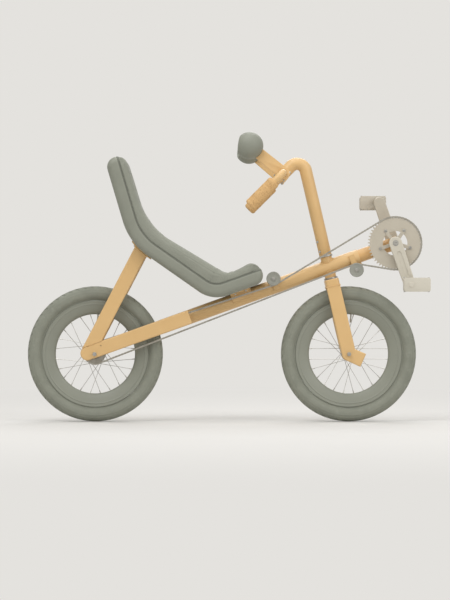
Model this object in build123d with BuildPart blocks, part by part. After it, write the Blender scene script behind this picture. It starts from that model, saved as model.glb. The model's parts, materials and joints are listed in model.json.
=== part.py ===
from build123d import *
from math import acos, asin, atan2, cos, degrees, pi, radians, sin, sqrt, tan
import os

# Recumbent bicycle, short wheelbase, 20 inch wheels and under-seat main tube.
# Millimetres, +X forward, +Y left, +Z up.
# The origin is the lowest sitting point of the seat, on the plane of symmetry.

# Wheels
TYRE_R = 270.0
TYRE_WIDTH = 64.0
RIM_OUTER_R = 212.0
RIM_INNER_R = 158.0
RIM_WIDTH = 42.0
SPOKES = 24
SPOKE_R = 1.3
AXLE_R = 5.0
WHEELBASE = 1012.0

# Main tube, from the bottom bracket rearward
BB_X = 666.0
BB_Z = 116.0
TUBE_ANGLE = 19.7
TUBE_R = 29.0
TUBE_WALL = 2.8
TUBE_FRONT = 151.0
TUBE_REAR = 990.0
REAR_REACH = 1275.0
REAR_DROP = 12.0

# Boom that slides in the front of the main tube
BOOM_INSERT = 98.0
BB_SHELL_R = 23.0
BB_SHELL_WIDTH = 73.0
SPINDLE_R = 12.0

# Steering
STEER_TILT = 13.1
HEAD_R = 23.0
HEAD_BORE_R = 17.0
HEAD_HALF = 42.0
CUP_R = 28.0
CUP_HEIGHT = 7.0
STEERER_R = 14.3
CROWN_CLEAR = 8.0
BLADE_DEPTH = 56.0
BLADE_THICK = 18.0
FRONT_OLD = 100.0
FOOT_LENGTH = 62.0
FOOT_ANGLE = 37.2
RISER_R = 25.0
RISER_TOP = 816.0
RISER_BEND_R = 36.0
BAR_SLOPE = 45.0
STEM_LENGTH = 114.0
STEM_WIDTH = 56.0
STEM_CLAMP_R = 27.0
BAR_R = 14.0
BAR_HALF_SPAN = 270.0
BAR_BEND_R = 32.0
BAR_END = 182.0
GRIP_LENGTH = 138.0
GRIP_DEPTH = 50.0
GRIP_WIDTH = 36.0

# Mirrors
MIRROR_R = 54.0
MIRROR_ARM = 170.0
MIRROR_ARM_SLOPE = 39.5
MIRROR_ARM_DEPTH = 50.0
MIRROR_ARM_THICK = 16.0
MIRROR_Y = 196.0
MIRROR_CUT = 32.0
MIRROR_TOE_IN = 10.0
MIRROR_TILT = 8.0

# Rear arms and struts
ARM_DEPTH = 56.0
ARM_THICK = 18.0
REAR_OLD = 118.0
ARM_FRONT = 868.0
ARM_REAR = 1301.0
STRUT_LEAN = 27.4
STRUT_LENGTH = 500.0
CROSS_R = 15.0
CROSS_DROP = 10.0
CROSS_PLACES = (906.0, 958.0)
BRIDGE_UP = 410.0
EYELET_R = 2.1
EYELET_BACK = 1240.0

# Seat: the underside path, then the sitting path
SEAT_TOP_X = -476.0
SEAT_TOP_Z = 402.0
BACK_LEAN = 16.5
PAN_X = -280.0
PAN_Z = 38.0
PAN_SLOPE = 35.0
NOSE_END = 586.0
BACK_CORNER_R = 260.0
PAN_CORNER_R = 125.0
SEAT_WIDTH = 300.0
SHELL_WALL = 8.0
TRAY_DEPTH = 50.0
END_ROUND = 40.0
TOP_HALF = 44.0
NOSE_HALF = 48.0
SIT_BACK_X = -388.0
SIT_BACK_LEAN = 16.7
SIT_BACK_R = 300.0
SIT_SLOPE = 31.0
SIT_DIP_R = 60.0
SIT_NOSE_SLOPE = 26.6
SEAT_PLAN_R = 60.0
BRACKET_WALL = 5.0
BRACKET_LENGTH = 96.0
SADDLE_FRONT = 604.0
SADDLE_LENGTH = 84.0
SADDLE_WALL = 4.0
SADDLE_REACH = 62.0

# Drive
PITCH = 12.7
RING_TEETH = 52
SPROCKET_TEETH = 20
IDLER_TEETH = 12
CHAIN_Y = -47.0
CHAIN_WIDTH = 8.0
CHAIN_HALF = 4.3
TOOTH_THICK = 2.4
TOOTH_GAP = 0.6
RING_BORE_R = 49.0
RING_THICK = 3.0
POWER_IDLER_U = 504.0
POWER_IDLER_V = 30.5
RETURN_IDLER_U = 180.0
RETURN_IDLER_V = -48.5
CRANK_LENGTH = 175.0
CRANK_ANGLE = 19.0
CRANK_DEPTH = 52.0
CRANK_TIP_DEPTH = 46.0
CRANK_THICK = 18.0
CRANK_INNER_Y = 62.0
PEDAL_SPINDLE_R = 7.0
PEDAL_GAP = 8.0
PEDAL_LONG = 76.0
PEDAL_SHORT = 28.0
PEDAL_HEIGHT = 55.0
PEDAL_WIDTH = 92.0

# Clearances
FIT = 0.05
SEAT_GAP = 0.3
COPE_GAP = 0.2
RUN_GAP = 0.5

os.makedirs("parts", exist_ok=True)


# Reference directions and points
TUBE_BACK = Vector(-cos(radians(TUBE_ANGLE)), 0, -sin(radians(TUBE_ANGLE)))
TUBE_UP = Vector(-sin(radians(TUBE_ANGLE)), 0, cos(radians(TUBE_ANGLE)))
STEER_UP = Vector(-sin(radians(STEER_TILT)), 0, cos(radians(STEER_TILT)))
STEER_AHEAD = Vector(cos(radians(STEER_TILT)), 0, sin(radians(STEER_TILT)))
LEFTWARD = Vector(0, 1, 0)


def on_tube(back, up=0.0, y=0.0):
    """Point given along the main tube from the bottom bracket, above its centreline and to the left."""
    return Vector(BB_X, y, BB_Z) + TUBE_BACK * back + TUBE_UP * up


REAR_AXLE = on_tube(REAR_REACH, -REAR_DROP)
FRONT_AXLE = REAR_AXLE + Vector(WHEELBASE, 0, 0)
AXLE_TO_TUBE = (Vector(BB_X, 0, BB_Z) - FRONT_AXLE).dot(TUBE_UP) / STEER_UP.dot(TUBE_UP)


def on_steering(up, ahead=0.0, y=0.0):
    """Point given along the steering axis from the front axle, ahead of it and to the left."""
    return FRONT_AXLE + STEER_UP * up + STEER_AHEAD * ahead + LEFTWARD * y


def tube_side(y=0.0):
    """Side plane whose x runs rearward along the main tube; extrudes go to the left."""
    return Plane(origin=on_tube(0, 0, y), x_dir=TUBE_BACK, z_dir=(0, 1, 0))


def tube_section(back):
    """Plane across the main tube; extrudes go rearward."""
    return Plane(origin=on_tube(back), x_dir=(0, 1, 0), z_dir=TUBE_BACK)


def steer_side(y=0.0):
    """Side plane through the front axle whose y runs up the steering axis; extrudes go right."""
    return Plane(origin=on_steering(0, 0, y), x_dir=STEER_AHEAD, z_dir=(0, -1, 0))


def steer_section(up):
    """Plane across the steering axis; extrudes go up it."""
    return Plane(origin=on_steering(up), x_dir=STEER_AHEAD, z_dir=STEER_UP)


def side(y=0.0, at=Vector(0, 0, 0)):
    """Side plane with x forward and y up; extrudes go right."""
    return Plane(origin=Vector(at.X, y, at.Z), x_dir=(1, 0, 0), z_dir=(0, -1, 0))


SIDES = (("left", 1), ("right", -1))

# Main tube, hollow, open at the front where the boom slides in
with BuildPart() as main_tube:
    with BuildSketch(tube_section(TUBE_FRONT)):
        Circle(TUBE_R)
    extrude(amount=TUBE_REAR - TUBE_FRONT)
    BINDER_LENGTH = 44.0
    BINDER_DROP = 15.0
    BINDER_WIDTH = 26.0
    BINDER_BOLT_R = 3.0
    with BuildSketch(tube_side(-BINDER_WIDTH / 2)) as binder:
        with Locations((TUBE_FRONT, -TUBE_R - BINDER_DROP)):
            Rectangle(BINDER_LENGTH, BINDER_DROP + TUBE_R / 2, align=Align.MIN)
        fillet(binder.vertices().group_by(Axis.Z)[0], BINDER_DROP / 2)
    extrude(amount=BINDER_WIDTH)
    with BuildSketch(tube_section(TUBE_FRONT)):
        Circle(TUBE_R - TUBE_WALL)
    extrude(amount=TUBE_REAR - TUBE_FRONT - 2 * TUBE_WALL, mode=Mode.SUBTRACT)
    with BuildSketch(tube_section(TUBE_FRONT)):
        with Locations((0, -TUBE_R)):
            Rectangle(TUBE_WALL, 2 * TUBE_R)
    extrude(amount=BINDER_LENGTH + TUBE_WALL, mode=Mode.SUBTRACT)
    with BuildSketch(tube_side(-TUBE_R)):
        with Locations(*[(back, -CROSS_DROP) for back in CROSS_PLACES]):
            Circle(CROSS_R + COPE_GAP)
    extrude(amount=2 * TUBE_R, mode=Mode.SUBTRACT)
    with BuildSketch(steer_section(AXLE_TO_TUBE - 2 * TUBE_R)):
        Circle(HEAD_R + COPE_GAP)
    extrude(amount=4 * TUBE_R, mode=Mode.SUBTRACT)
    with BuildSketch(tube_side(-TUBE_R)):
        with Locations(*[(TUBE_FRONT + BINDER_LENGTH * share, -TUBE_R - BINDER_DROP / 2) for share in (0.25, 0.75)]):
            Circle(BINDER_BOLT_R)
    extrude(amount=2 * TUBE_R, mode=Mode.SUBTRACT)
main_tube.part.label = "main_tube"
export_step(main_tube.part, "parts/main_tube.step")

# Head tube through the main tube, with its bearing cups
with BuildPart() as head_tube:
    with BuildSketch(steer_section(AXLE_TO_TUBE - HEAD_HALF)):
        Circle(HEAD_R)
        Circle(HEAD_BORE_R, mode=Mode.SUBTRACT)
    extrude(amount=2 * HEAD_HALF)
head_tube.part.label = "head_tube"
export_step(head_tube.part, "parts/head_tube.step")

CUP_SPIGOT = 14.0
with BuildPart() as headset_cups:
    for up, spigot in ((AXLE_TO_TUBE - HEAD_HALF - CUP_HEIGHT, CUP_HEIGHT), (AXLE_TO_TUBE + HEAD_HALF, -CUP_SPIGOT)):
        with BuildSketch(steer_section(up)):
            Circle(CUP_R)
            Circle(STEERER_R + FIT, mode=Mode.SUBTRACT)
        extrude(amount=CUP_HEIGHT)
        with BuildSketch(steer_section(up + spigot)):
            Circle(HEAD_BORE_R - FIT)
            Circle(STEERER_R + FIT, mode=Mode.SUBTRACT)
        extrude(amount=CUP_SPIGOT)
headset_cups.part.label = "headset_cups"
export_step(headset_cups.part, "parts/headset_cups.step")

# Boom with the bottom bracket shell
with BuildPart() as boom:
    with BuildSketch(tube_section(0)):
        Circle(TUBE_R - TUBE_WALL - FIT * 4)
    extrude(amount=TUBE_FRONT + BOOM_INSERT)
    with BuildSketch(tube_side(-BB_SHELL_WIDTH / 2)):
        Circle(BB_SHELL_R)
    extrude(amount=BB_SHELL_WIDTH)
    with BuildSketch(tube_section(BB_SHELL_R + 2 * TUBE_WALL)):
        Circle(TUBE_R - 2 * TUBE_WALL - FIT * 4)
    extrude(amount=TUBE_FRONT + BOOM_INSERT, mode=Mode.SUBTRACT)
    with BuildSketch(tube_side(-BB_SHELL_WIDTH / 2)):
        Circle(BB_SHELL_R - TUBE_WALL)
    extrude(amount=BB_SHELL_WIDTH, mode=Mode.SUBTRACT)
boom.part.label = "boom"
export_step(boom.part, "parts/boom.step")

BB_CUP_LIP = 5.0
BB_CUP_SPIGOT = 20.0
with BuildPart() as bearing_cups:
    for name, way in SIDES:
        shell_face = way * BB_SHELL_WIDTH / 2
        with BuildSketch(tube_side(shell_face)):
            Circle(BB_SHELL_R)
            Circle(SPINDLE_R + FIT, mode=Mode.SUBTRACT)
        extrude(amount=way * BB_CUP_LIP)
        with BuildSketch(tube_side(shell_face)):
            Circle(BB_SHELL_R - TUBE_WALL - FIT)
            Circle(SPINDLE_R + FIT, mode=Mode.SUBTRACT)
        extrude(amount=-way * BB_CUP_SPIGOT)
bearing_cups.part.label = "bearing_cups"
export_step(bearing_cups.part, "parts/bearing_cups.step")

# Rear triangle: cross tubes, arms, struts and the bridge above the wheel
ARM_INNER_Y = REAR_OLD / 2
with BuildPart() as cross_tubes:
    with BuildSketch(tube_side(-ARM_INNER_Y)):
        with Locations(*[(back, -CROSS_DROP) for back in CROSS_PLACES]):
            Circle(CROSS_R)
    extrude(amount=REAR_OLD)
cross_tubes.part.label = "cross_tubes"
export_step(cross_tubes.part, "parts/cross_tubes.step")

STRUT_TILT_ON_TUBE = 90 - TUBE_ANGLE - STRUT_LEAN
APEX = on_tube(ARM_REAR)
STRUT_UP = Vector(sin(radians(STRUT_LEAN)), 0, cos(radians(STRUT_LEAN)))


def meet(point_a, angle_a, point_b, angle_b):
    """Where two lines meet on a side plane, each given by a point and its angle above forward."""
    ax, az = point_a
    bx, bz = point_b
    slope_a, slope_b = tan(radians(angle_a)), tan(radians(angle_b))
    x = (bz - az + slope_a * ax - slope_b * bx) / (slope_a - slope_b)
    return x, az + slope_a * (x - ax)


def parallel(corners, gap):
    """Corner points of the open path moved gap to its left."""
    moved = []
    lines = []
    for (x0, z0), (x1, z1) in zip(corners, corners[1:]):
        angle = atan2(z1 - z0, x1 - x0)
        shift = (-gap * sin(angle), gap * cos(angle))
        lines.append(((x0 + shift[0], z0 + shift[1]), (x1 + shift[0], z1 + shift[1]), degrees(angle)))
    moved.append(lines[0][0])
    for (start_a, end_a, angle_a), (start_b, end_b, angle_b) in zip(lines, lines[1:]):
        moved.append(meet(start_a, angle_a, start_b, angle_b))
    moved.append(lines[-1][1])
    return moved


def step(point, angle, length):
    """Point reached from another by a length at an angle above forward."""
    return point[0] + length * cos(radians(angle)), point[1] + length * sin(radians(angle))


# Seat underside, from the top of the back to the nose, which lies along the main tube
SEAT_TOP = (SEAT_TOP_X, SEAT_TOP_Z)
BACK_ANGLE = -(90 - BACK_LEAN)
nose_ground = on_tube(NOSE_END, TUBE_R + SEAT_GAP)
NOSE_FOOT = (nose_ground.X, nose_ground.Z)
BACK_CORNER = meet(SEAT_TOP, BACK_ANGLE, (PAN_X, PAN_Z), -PAN_SLOPE)
PAN_CORNER = meet((PAN_X, PAN_Z), -PAN_SLOPE, NOSE_FOOT, TUBE_ANGLE)
UNDERSIDE = [
    step(SEAT_TOP, BACK_ANGLE, -TOP_HALF),
    BACK_CORNER,
    PAN_CORNER,
    step(NOSE_FOOT, TUBE_ANGLE, NOSE_HALF),
]


def underside(inset, trim=0.0):
    """Corners and radii of the seat underside moved towards the rider, its ends cut back by trim."""
    corners = parallel(UNDERSIDE, inset)
    corners[0] = step(corners[0], BACK_ANGLE, trim)
    corners[-1] = step(corners[-1], TUBE_ANGLE, -trim)
    return corners, [BACK_CORNER_R - inset, PAN_CORNER_R - inset]


# Sitting path: its dip just touches the origin
DIP_TURN = SIT_SLOPE + SIT_NOSE_SLOPE
DIP_TILT = radians(SIT_SLOPE - SIT_NOSE_SLOPE) / 2
DIP_REACH = SIT_DIP_R / cos(radians(DIP_TURN / 2))
DIP_CORNER = (-DIP_REACH * sin(DIP_TILT), SIT_DIP_R - DIP_REACH * cos(DIP_TILT))
SIT_BACK_ANGLE = -(90 - SIT_BACK_LEAN)
SIT_CORNER = meet((SIT_BACK_X, SEAT_TOP_Z), SIT_BACK_ANGLE, DIP_CORNER, -SIT_SLOPE)


def tray_sketch(inset, trim, height, rounding):
    """Closed outline of the seat tray between inset and height above its underside."""
    low, (back_r, pan_r) = underside(inset, trim)
    high, (high_back_r, high_pan_r) = underside(height, trim)
    with BuildLine() as outline:
        FilletPolyline(high[0], *low, high[-1], radius=[rounding, back_r, pan_r, rounding])
        FilletPolyline(*high, radius=[high_back_r, high_pan_r])
    make_face(outline.edges())


with BuildPart() as seat_shell:
    with BuildSketch(side(SEAT_WIDTH / 2)):
        tray_sketch(0, 0, TRAY_DEPTH, END_ROUND)
    extrude(amount=SEAT_WIDTH)
    with BuildSketch(side(SEAT_WIDTH / 2 - SHELL_WALL)):
        tray_sketch(SHELL_WALL, SHELL_WALL, TRAY_DEPTH + SHELL_WALL, END_ROUND - SHELL_WALL)
    extrude(amount=SEAT_WIDTH - 2 * SHELL_WALL, mode=Mode.SUBTRACT)
seat_shell.part.label = "seat_shell"
export_step(seat_shell.part, "parts/seat_shell.step")

PAD_INSET = SHELL_WALL + SEAT_GAP
with BuildPart() as seat_pad:
    low, (low_back_r, low_pan_r) = underside(PAD_INSET, PAD_INSET)
    back_top = meet((SIT_BACK_X, SEAT_TOP_Z), SIT_BACK_ANGLE, low[0], BACK_ANGLE + 90)
    nose_top = meet(DIP_CORNER, SIT_NOSE_SLOPE, low[-1], TUBE_ANGLE + 90)
    end_r = END_ROUND - PAD_INSET
    with BuildSketch(side(SEAT_WIDTH / 2 - PAD_INSET)):
        with BuildLine():
            lower = FilletPolyline(back_top, *low, nose_top, radius=[end_r, low_back_r, low_pan_r, end_r])
            sitting = FilletPolyline(back_top, SIT_CORNER, DIP_CORNER, nose_top, radius=[SIT_BACK_R, SIT_DIP_R])
        make_face()
    extrude(amount=SEAT_WIDTH - 2 * PAD_INSET)
seat_pad.part.label = "seat_pad"
export_step(seat_pad.part, "parts/seat_pad.step")

STRUT_ROOM = BRACKET_WALL + 2 * SEAT_GAP
with BuildPart() as seat_bracket:
    high, high_radii = underside(-SEAT_GAP)
    low, low_radii = underside(-SEAT_GAP - BRACKET_WALL)
    with BuildSketch(side(ARM_INNER_Y + ARM_THICK)):
        with BuildLine():
            FilletPolyline(*high, radius=high_radii)
            FilletPolyline(*low, radius=low_radii)
            Line(high[0], low[0])
            Line(high[-1], low[-1])
        make_face()
        with Locations(Location((APEX.X, APEX.Z, 0), (0, 0, 90 - STRUT_LEAN))):
            Rectangle(2 * STRUT_LENGTH, BRACKET_LENGTH, mode=Mode.INTERSECT)
    extrude(amount=REAR_OLD + 2 * ARM_THICK)
seat_bracket.part.label = "seat_bracket"
export_step(seat_bracket.part, "parts/seat_bracket.step")

EDGE_ROUND = 5.0
for name, way in SIDES:
    inner = way * ARM_INNER_Y
    with BuildPart() as arm:
        with BuildSketch(tube_side(inner)) as outline:
            with Locations((ARM_FRONT, 0)):
                Rectangle(ARM_REAR - ARM_FRONT, ARM_DEPTH, align=(Align.MIN, Align.CENTER))
            fillet(outline.vertices().group_by(Axis.X)[-1], ARM_DEPTH / 3)
            with Locations((ARM_REAR, 0)):
                Circle(ARM_DEPTH / 2)
        extrude(amount=way * ARM_THICK)
        flat_faces = arm.faces().filter_by(Axis.Y)
        fillet(flat_faces.edges(), EDGE_ROUND)
        with BuildSketch(tube_side(inner)):
            with Locations((REAR_REACH, -REAR_DROP)):
                Circle(AXLE_R + FIT)
            with Locations((EYELET_BACK, ARM_DEPTH / 5)):
                Circle(EYELET_R)
        extrude(amount=way * ARM_THICK, mode=Mode.SUBTRACT)
    arm.part.label = f"arm_{name}"
    export_step(arm.part, f"parts/arm_{name}.step")

    with BuildPart() as strut:
        with BuildSketch(side(inner + ARM_THICK * (way + 1) / 2)):
            with Locations(Location((APEX.X, APEX.Z, 0), (0, 0, 90 - STRUT_LEAN))):
                Rectangle(STRUT_LENGTH, ARM_DEPTH, align=(Align.MIN, Align.CENTER))
            high, high_radii = underside(-STRUT_ROOM)
            with BuildLine():
                FilletPolyline(*high, radius=high_radii)
                far_corner = (high[-1][0], high[0][1])
                Polyline(high[0], far_corner, high[-1])
            make_face(mode=Mode.SUBTRACT)
            with Locations(Location((APEX.X, APEX.Z, 0), (0, 0, TUBE_ANGLE))):
                Rectangle(2 * STRUT_LENGTH, ARM_DEPTH + 2 * COPE_GAP, mode=Mode.SUBTRACT)
        extrude(amount=ARM_THICK)
        long_edges = strut.edges().filter_by(lambda e: abs(e.tangent_at(0.5).dot(STRUT_UP)) > 0.999)
        fillet(long_edges, EDGE_ROUND)
    strut.part.label = f"strut_{name}"
    export_step(strut.part, f"parts/strut_{name}.step")

bridge_centre = APEX + STRUT_UP * BRIDGE_UP
with BuildPart() as strut_bridge:
    with BuildSketch(side(ARM_INNER_Y, bridge_centre)):
        Circle(CROSS_R)
    extrude(amount=REAR_OLD)
strut_bridge.part.label = "strut_bridge"
export_step(strut_bridge.part, "parts/strut_bridge.step")

# Saddle bracket that carries the seat on the main tube
SADDLE_DROP = 34.0
with BuildPart() as seat_saddle:
    for name, way in SIDES:
        cheek = way * (TUBE_R + COPE_GAP)
        with BuildSketch(tube_side(cheek)):
            with Locations((SADDLE_FRONT, TUBE_R - SADDLE_DROP)):
                Rectangle(SADDLE_LENGTH, SADDLE_DROP, align=Align.MIN)
        extrude(amount=way * SADDLE_WALL)
        with BuildSketch(tube_side(cheek)):
            with Locations((SADDLE_FRONT, TUBE_R - SADDLE_WALL)):
                Rectangle(SADDLE_LENGTH, SADDLE_WALL, align=Align.MIN)
        extrude(amount=way * (SADDLE_REACH - TUBE_R))
seat_saddle.part.label = "seat_saddle"
export_step(seat_saddle.part, "parts/seat_saddle.step")

# Drive geometry: every wheel of the chain run as (name, back, up, teeth, turn)
RUN = (
    ("ring", 0.0, 0.0, RING_TEETH, 1),
    ("power_idler", POWER_IDLER_U, POWER_IDLER_V, IDLER_TEETH, -1),
    ("sprocket", REAR_REACH, -REAR_DROP, SPROCKET_TEETH, 1),
    ("return_idler", RETURN_IDLER_U, RETURN_IDLER_V, IDLER_TEETH, -1),
)


def pitch_radius(teeth):
    return PITCH / (2 * sin(pi / teeth))


def tangent_points(first, second):
    """End points of the straight chain run from one wheel to the next, chain turning clockwise."""
    _, xa, za, teeth_a, turn_a = first
    _, xb, zb, teeth_b, turn_b = second
    ra, rb = turn_a * pitch_radius(teeth_a), turn_b * pitch_radius(teeth_b)
    gap = sqrt((xb - xa) ** 2 + (zb - za) ** 2)
    normal = atan2(zb - za, xb - xa) + acos((ra - rb) / gap)
    away = (cos(normal), sin(normal))
    return (xa + ra * away[0], za + ra * away[1]), (xb + rb * away[0], zb + rb * away[1])


def run_line(shift):
    """Closed chain path moved outward by shift: straight runs and the arcs round each wheel."""
    pairs = list(zip(RUN, RUN[1:] + RUN[:1]))
    ends = []
    for first, second in pairs:
        start, end = tangent_points(first, second)
        angle = atan2(end[1] - start[1], end[0] - start[0]) + pi / 2
        move = (shift * cos(angle), shift * sin(angle))
        ends.append(((start[0] + move[0], start[1] + move[1]), (end[0] + move[0], end[1] + move[1])))
    for (start, end), (next_start, _), (_, second) in zip(ends, ends[1:] + ends[:1], pairs):
        Line(start, end)
        _, x, z, teeth, turn = second
        radius = pitch_radius(teeth) + turn * shift
        begin = atan2(end[1] - z, end[0] - x)
        finish = atan2(next_start[1] - z, next_start[0] - x)
        sweep_angle = (finish - begin) % (2 * pi) - (2 * pi if turn > 0 else 0)
        CenterArc((x, z), radius, degrees(begin), degrees(sweep_angle))


def swept_radius(teeth):
    """Radius cleared round a toothed wheel, over its tooth tips."""
    return pitch_radius(teeth) + CHAIN_HALF + TOOTH_GAP


with BuildPart() as chain:
    with BuildSketch(tube_side(CHAIN_Y - CHAIN_WIDTH / 2)):
        with BuildLine() as outer_line:
            run_line(CHAIN_HALF)
        make_face(outer_line.edges())
        with BuildLine() as inner_line:
            run_line(-CHAIN_HALF)
        make_face(inner_line.edges(), mode=Mode.SUBTRACT)
    extrude(amount=CHAIN_WIDTH)
    with BuildSketch(tube_side(CHAIN_Y - TOOTH_THICK / 2 - TOOTH_GAP)):
        for name, back, up, teeth, turn in RUN:
            if turn > 0:
                with Locations((back, up)):
                    Circle(swept_radius(teeth))
    extrude(amount=TOOTH_THICK + 2 * TOOTH_GAP, mode=Mode.SUBTRACT)
chain.part.label = "chain"
export_step(chain.part, "parts/chain.step")

# Idler pulleys with side flanges, and the brackets that hold them on the main tube
IDLER_PIN_R = 4.0
IDLER_FLANGE = 2.0
IDLER_BRACKET_WALL = 4.0
IDLER_BOSS_R = 11.0
IDLER_RIM = 4.0
bracket_face = -(TUBE_R + COPE_GAP)
idler_inner_y = CHAIN_Y + CHAIN_WIDTH / 2 + RUN_GAP
idler_outer_y = CHAIN_Y - CHAIN_WIDTH / 2 - RUN_GAP
for name, back, up, teeth, turn in RUN:
    if turn > 0:
        continue
    groove_r = pitch_radius(teeth) - CHAIN_HALF - SEAT_GAP
    flange_r = pitch_radius(teeth) + IDLER_RIM
    with BuildPart() as idler:
        with BuildSketch(tube_side(idler_outer_y)):
            with Locations((back, up)):
                Circle(groove_r)
        extrude(amount=idler_inner_y - idler_outer_y)
        for face_y in (idler_outer_y - IDLER_FLANGE, idler_inner_y):
            with BuildSketch(tube_side(face_y)):
                with Locations((back, up)):
                    Circle(flange_r)
            extrude(amount=IDLER_FLANGE)
        with BuildSketch(tube_side(idler_outer_y - IDLER_FLANGE)):
            with Locations((back, up)):
                Circle(IDLER_PIN_R + FIT)
        extrude(amount=idler_inner_y - idler_outer_y + 2 * IDLER_FLANGE, mode=Mode.SUBTRACT)
    idler.part.label = name
    export_step(idler.part, f"parts/{name}.step")

PIN_OUT = IDLER_FLANGE + 3.0
with BuildPart() as idler_brackets:
    for name, back, up, teeth, turn in RUN:
        if turn > 0:
            continue
        with BuildSketch(tube_side(bracket_face)):
            with Locations((back, up)):
                Circle(IDLER_BOSS_R)
            with Locations((back, 0)):
                Rectangle(2 * IDLER_BOSS_R, TUBE_R)
            make_hull()
        extrude(amount=-IDLER_BRACKET_WALL)
        inner_y = idler_inner_y + IDLER_FLANGE
        with BuildSketch(tube_side(bracket_face - IDLER_BRACKET_WALL)):
            with Locations((back, up)):
                Circle(IDLER_BOSS_R * 0.7)
        extrude(amount=inner_y + SEAT_GAP - (bracket_face - IDLER_BRACKET_WALL))
        with BuildSketch(tube_side(inner_y + SEAT_GAP)):
            with Locations((back, up)):
                Circle(IDLER_PIN_R)
        extrude(amount=idler_outer_y - PIN_OUT - inner_y - SEAT_GAP)
idler_brackets.part.label = "idler_brackets"
export_step(idler_brackets.part, "parts/idler_brackets.step")


def tooth_face(teeth):
    """Toothed disc: a tip arc between two slanting flanks for each tooth, roller seats between."""
    radius = pitch_radius(teeth)
    tip_r = radius + CHAIN_HALF * 0.85
    root_r = radius - CHAIN_HALF
    for tooth in range(teeth):
        angle = 360 * tooth / teeth
        half_root = 0.62 * 180 / teeth
        half_tip = 0.24 * 180 / teeth
        corners = [
            (root_r * 0.97, angle - half_root),
            (root_r, angle - half_root),
            (tip_r, angle - half_tip),
            (tip_r, angle + half_tip),
            (root_r, angle + half_root),
            (root_r * 0.97, angle + half_root),
        ]
        Polygon(*[(r * cos(radians(a)), r * sin(radians(a))) for r, a in corners], align=None)
    Circle(root_r)


# Wheels: tyre, deep rim, hub with spokes, for the front and the rear
def revolved(centre, profile):
    """Ring about a wheel's axle from a closed profile of (radius, y) corners."""
    with BuildSketch(Plane(origin=centre, x_dir=(0, 0, 1), z_dir=(-1, 0, 0))) as section:
        Polygon(*profile, align=None)
    revolve(section.sketch, axis=Axis(centre, (0, 1, 0)))


HUB_BORE_R = AXLE_R + FIT
HUB_CROSS = 2
HUB_END_SHARE = 0.6
# name, centre, over locknuts, hub barrel radius, flange radius, flange y, hub end y left, hub end y right
WHEELS = (
    ("front", FRONT_AXLE, FRONT_OLD, 16.0, 27.0, 32.0, 38.0, 38.0),
    ("rear", REAR_AXLE, REAR_OLD, 30.0, 40.0, 32.0, 42.0, 49.0),
)
FLANGE_WALL = 4.0
SPOKE_INSET = 3.5
RIM_BED = 17.0

for name, centre, old, barrel_r, flange_r, flange_y, end_left, end_right in WHEELS:
    with BuildPart() as tyre:
        half = TYRE_WIDTH / 2
        bead_r = RIM_OUTER_R + SEAT_GAP
        height = TYRE_R - bead_r
        # share of the tyre's height, share of its half width
        section = ((0, 0.55), (0.22, 0.86), (0.5, 1.0), (0.78, 0.84), (1.0, 0.3))
        right = [(bead_r + height * rise, -half * out) for rise, out in section]
        left = [(bead_r + height * rise, half * out) for rise, out in reversed(section)]
        revolved(centre, right + left)
    tyre.part.label = f"{name}_tyre"
    export_step(tyre.part, f"parts/{name}_tyre.step")

    with BuildPart() as rim:
        half = RIM_WIDTH / 2
        # radius, half width
        section = ((RIM_INNER_R, 0.3 * half), (RIM_INNER_R + 20, 0.72 * half), (RIM_OUTER_R - 12, half), (RIM_OUTER_R, 0.9 * half))
        right = [(r, -y) for r, y in section]
        left = [(r, y) for r, y in reversed(section)]
        revolved(centre, right + left)
    rim.part.label = f"{name}_rim"
    export_step(rim.part, f"parts/{name}_rim.step")

    with BuildPart() as hub:
        revolved(
            centre,
            [
                (HUB_BORE_R, -end_right),
                (barrel_r * HUB_END_SHARE, -end_right),
                (barrel_r * HUB_END_SHARE, -flange_y - FLANGE_WALL),
                (barrel_r * 0.8, -flange_y),
                (flange_r, -flange_y),
                (flange_r, -flange_y + FLANGE_WALL),
                (barrel_r, -flange_y + 2 * FLANGE_WALL),
                (barrel_r, flange_y - 2 * FLANGE_WALL),
                (flange_r, flange_y - FLANGE_WALL),
                (flange_r, flange_y),
                (barrel_r * 0.8, flange_y),
                (barrel_r * HUB_END_SHARE, flange_y + FLANGE_WALL),
                (barrel_r * HUB_END_SHARE, end_left),
                (HUB_BORE_R, end_left),
            ],
        )
        for index in range(SPOKES):
            way = 1 if index % 2 else -1
            lean = 1 if index % 4 < 2 else -1
            rim_angle = 2 * pi * (index + 0.5) / SPOKES
            hub_angle = rim_angle + lean * HUB_CROSS * 2 * pi / (SPOKES / 2)
            hub_r = flange_r - SPOKE_INSET
            reach = RIM_INNER_R - SPOKE_R
            spoke_y = way * (flange_y - FLANGE_WALL / 2)
            start = centre + Vector(hub_r * cos(hub_angle), spoke_y, hub_r * sin(hub_angle))
            end = centre + Vector(reach * cos(rim_angle), way * SPOKE_R * 2, reach * sin(rim_angle))
            with BuildSketch(Plane(origin=start, z_dir=end - start)):
                RegularPolygon(SPOKE_R, 4)
            extrude(amount=(end - start).length)
    hub.part.label = f"{name}_hub"
    export_step(hub.part, f"parts/{name}_hub.step")


def wheel_side(place, y):
    """Side plane at a wheel of the chain run, given by its row; extrudes go to the left."""
    return Plane(origin=on_tube(place[1], place[2], y), x_dir=TUBE_BACK, z_dir=(0, 1, 0))


RING, SPROCKET = RUN[0], RUN[2]
SPROCKET_BORE_R = WHEELS[1][3] * HUB_END_SHARE + FIT
with BuildPart() as rear_sprocket:
    with BuildSketch(wheel_side(SPROCKET, CHAIN_Y - TOOTH_THICK / 2)):
        tooth_face(SPROCKET_TEETH)
        Circle(SPROCKET_BORE_R, mode=Mode.SUBTRACT)
    extrude(amount=TOOTH_THICK)
rear_sprocket.part.label = "rear_sprocket"
export_step(rear_sprocket.part, "parts/rear_sprocket.step")

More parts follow.
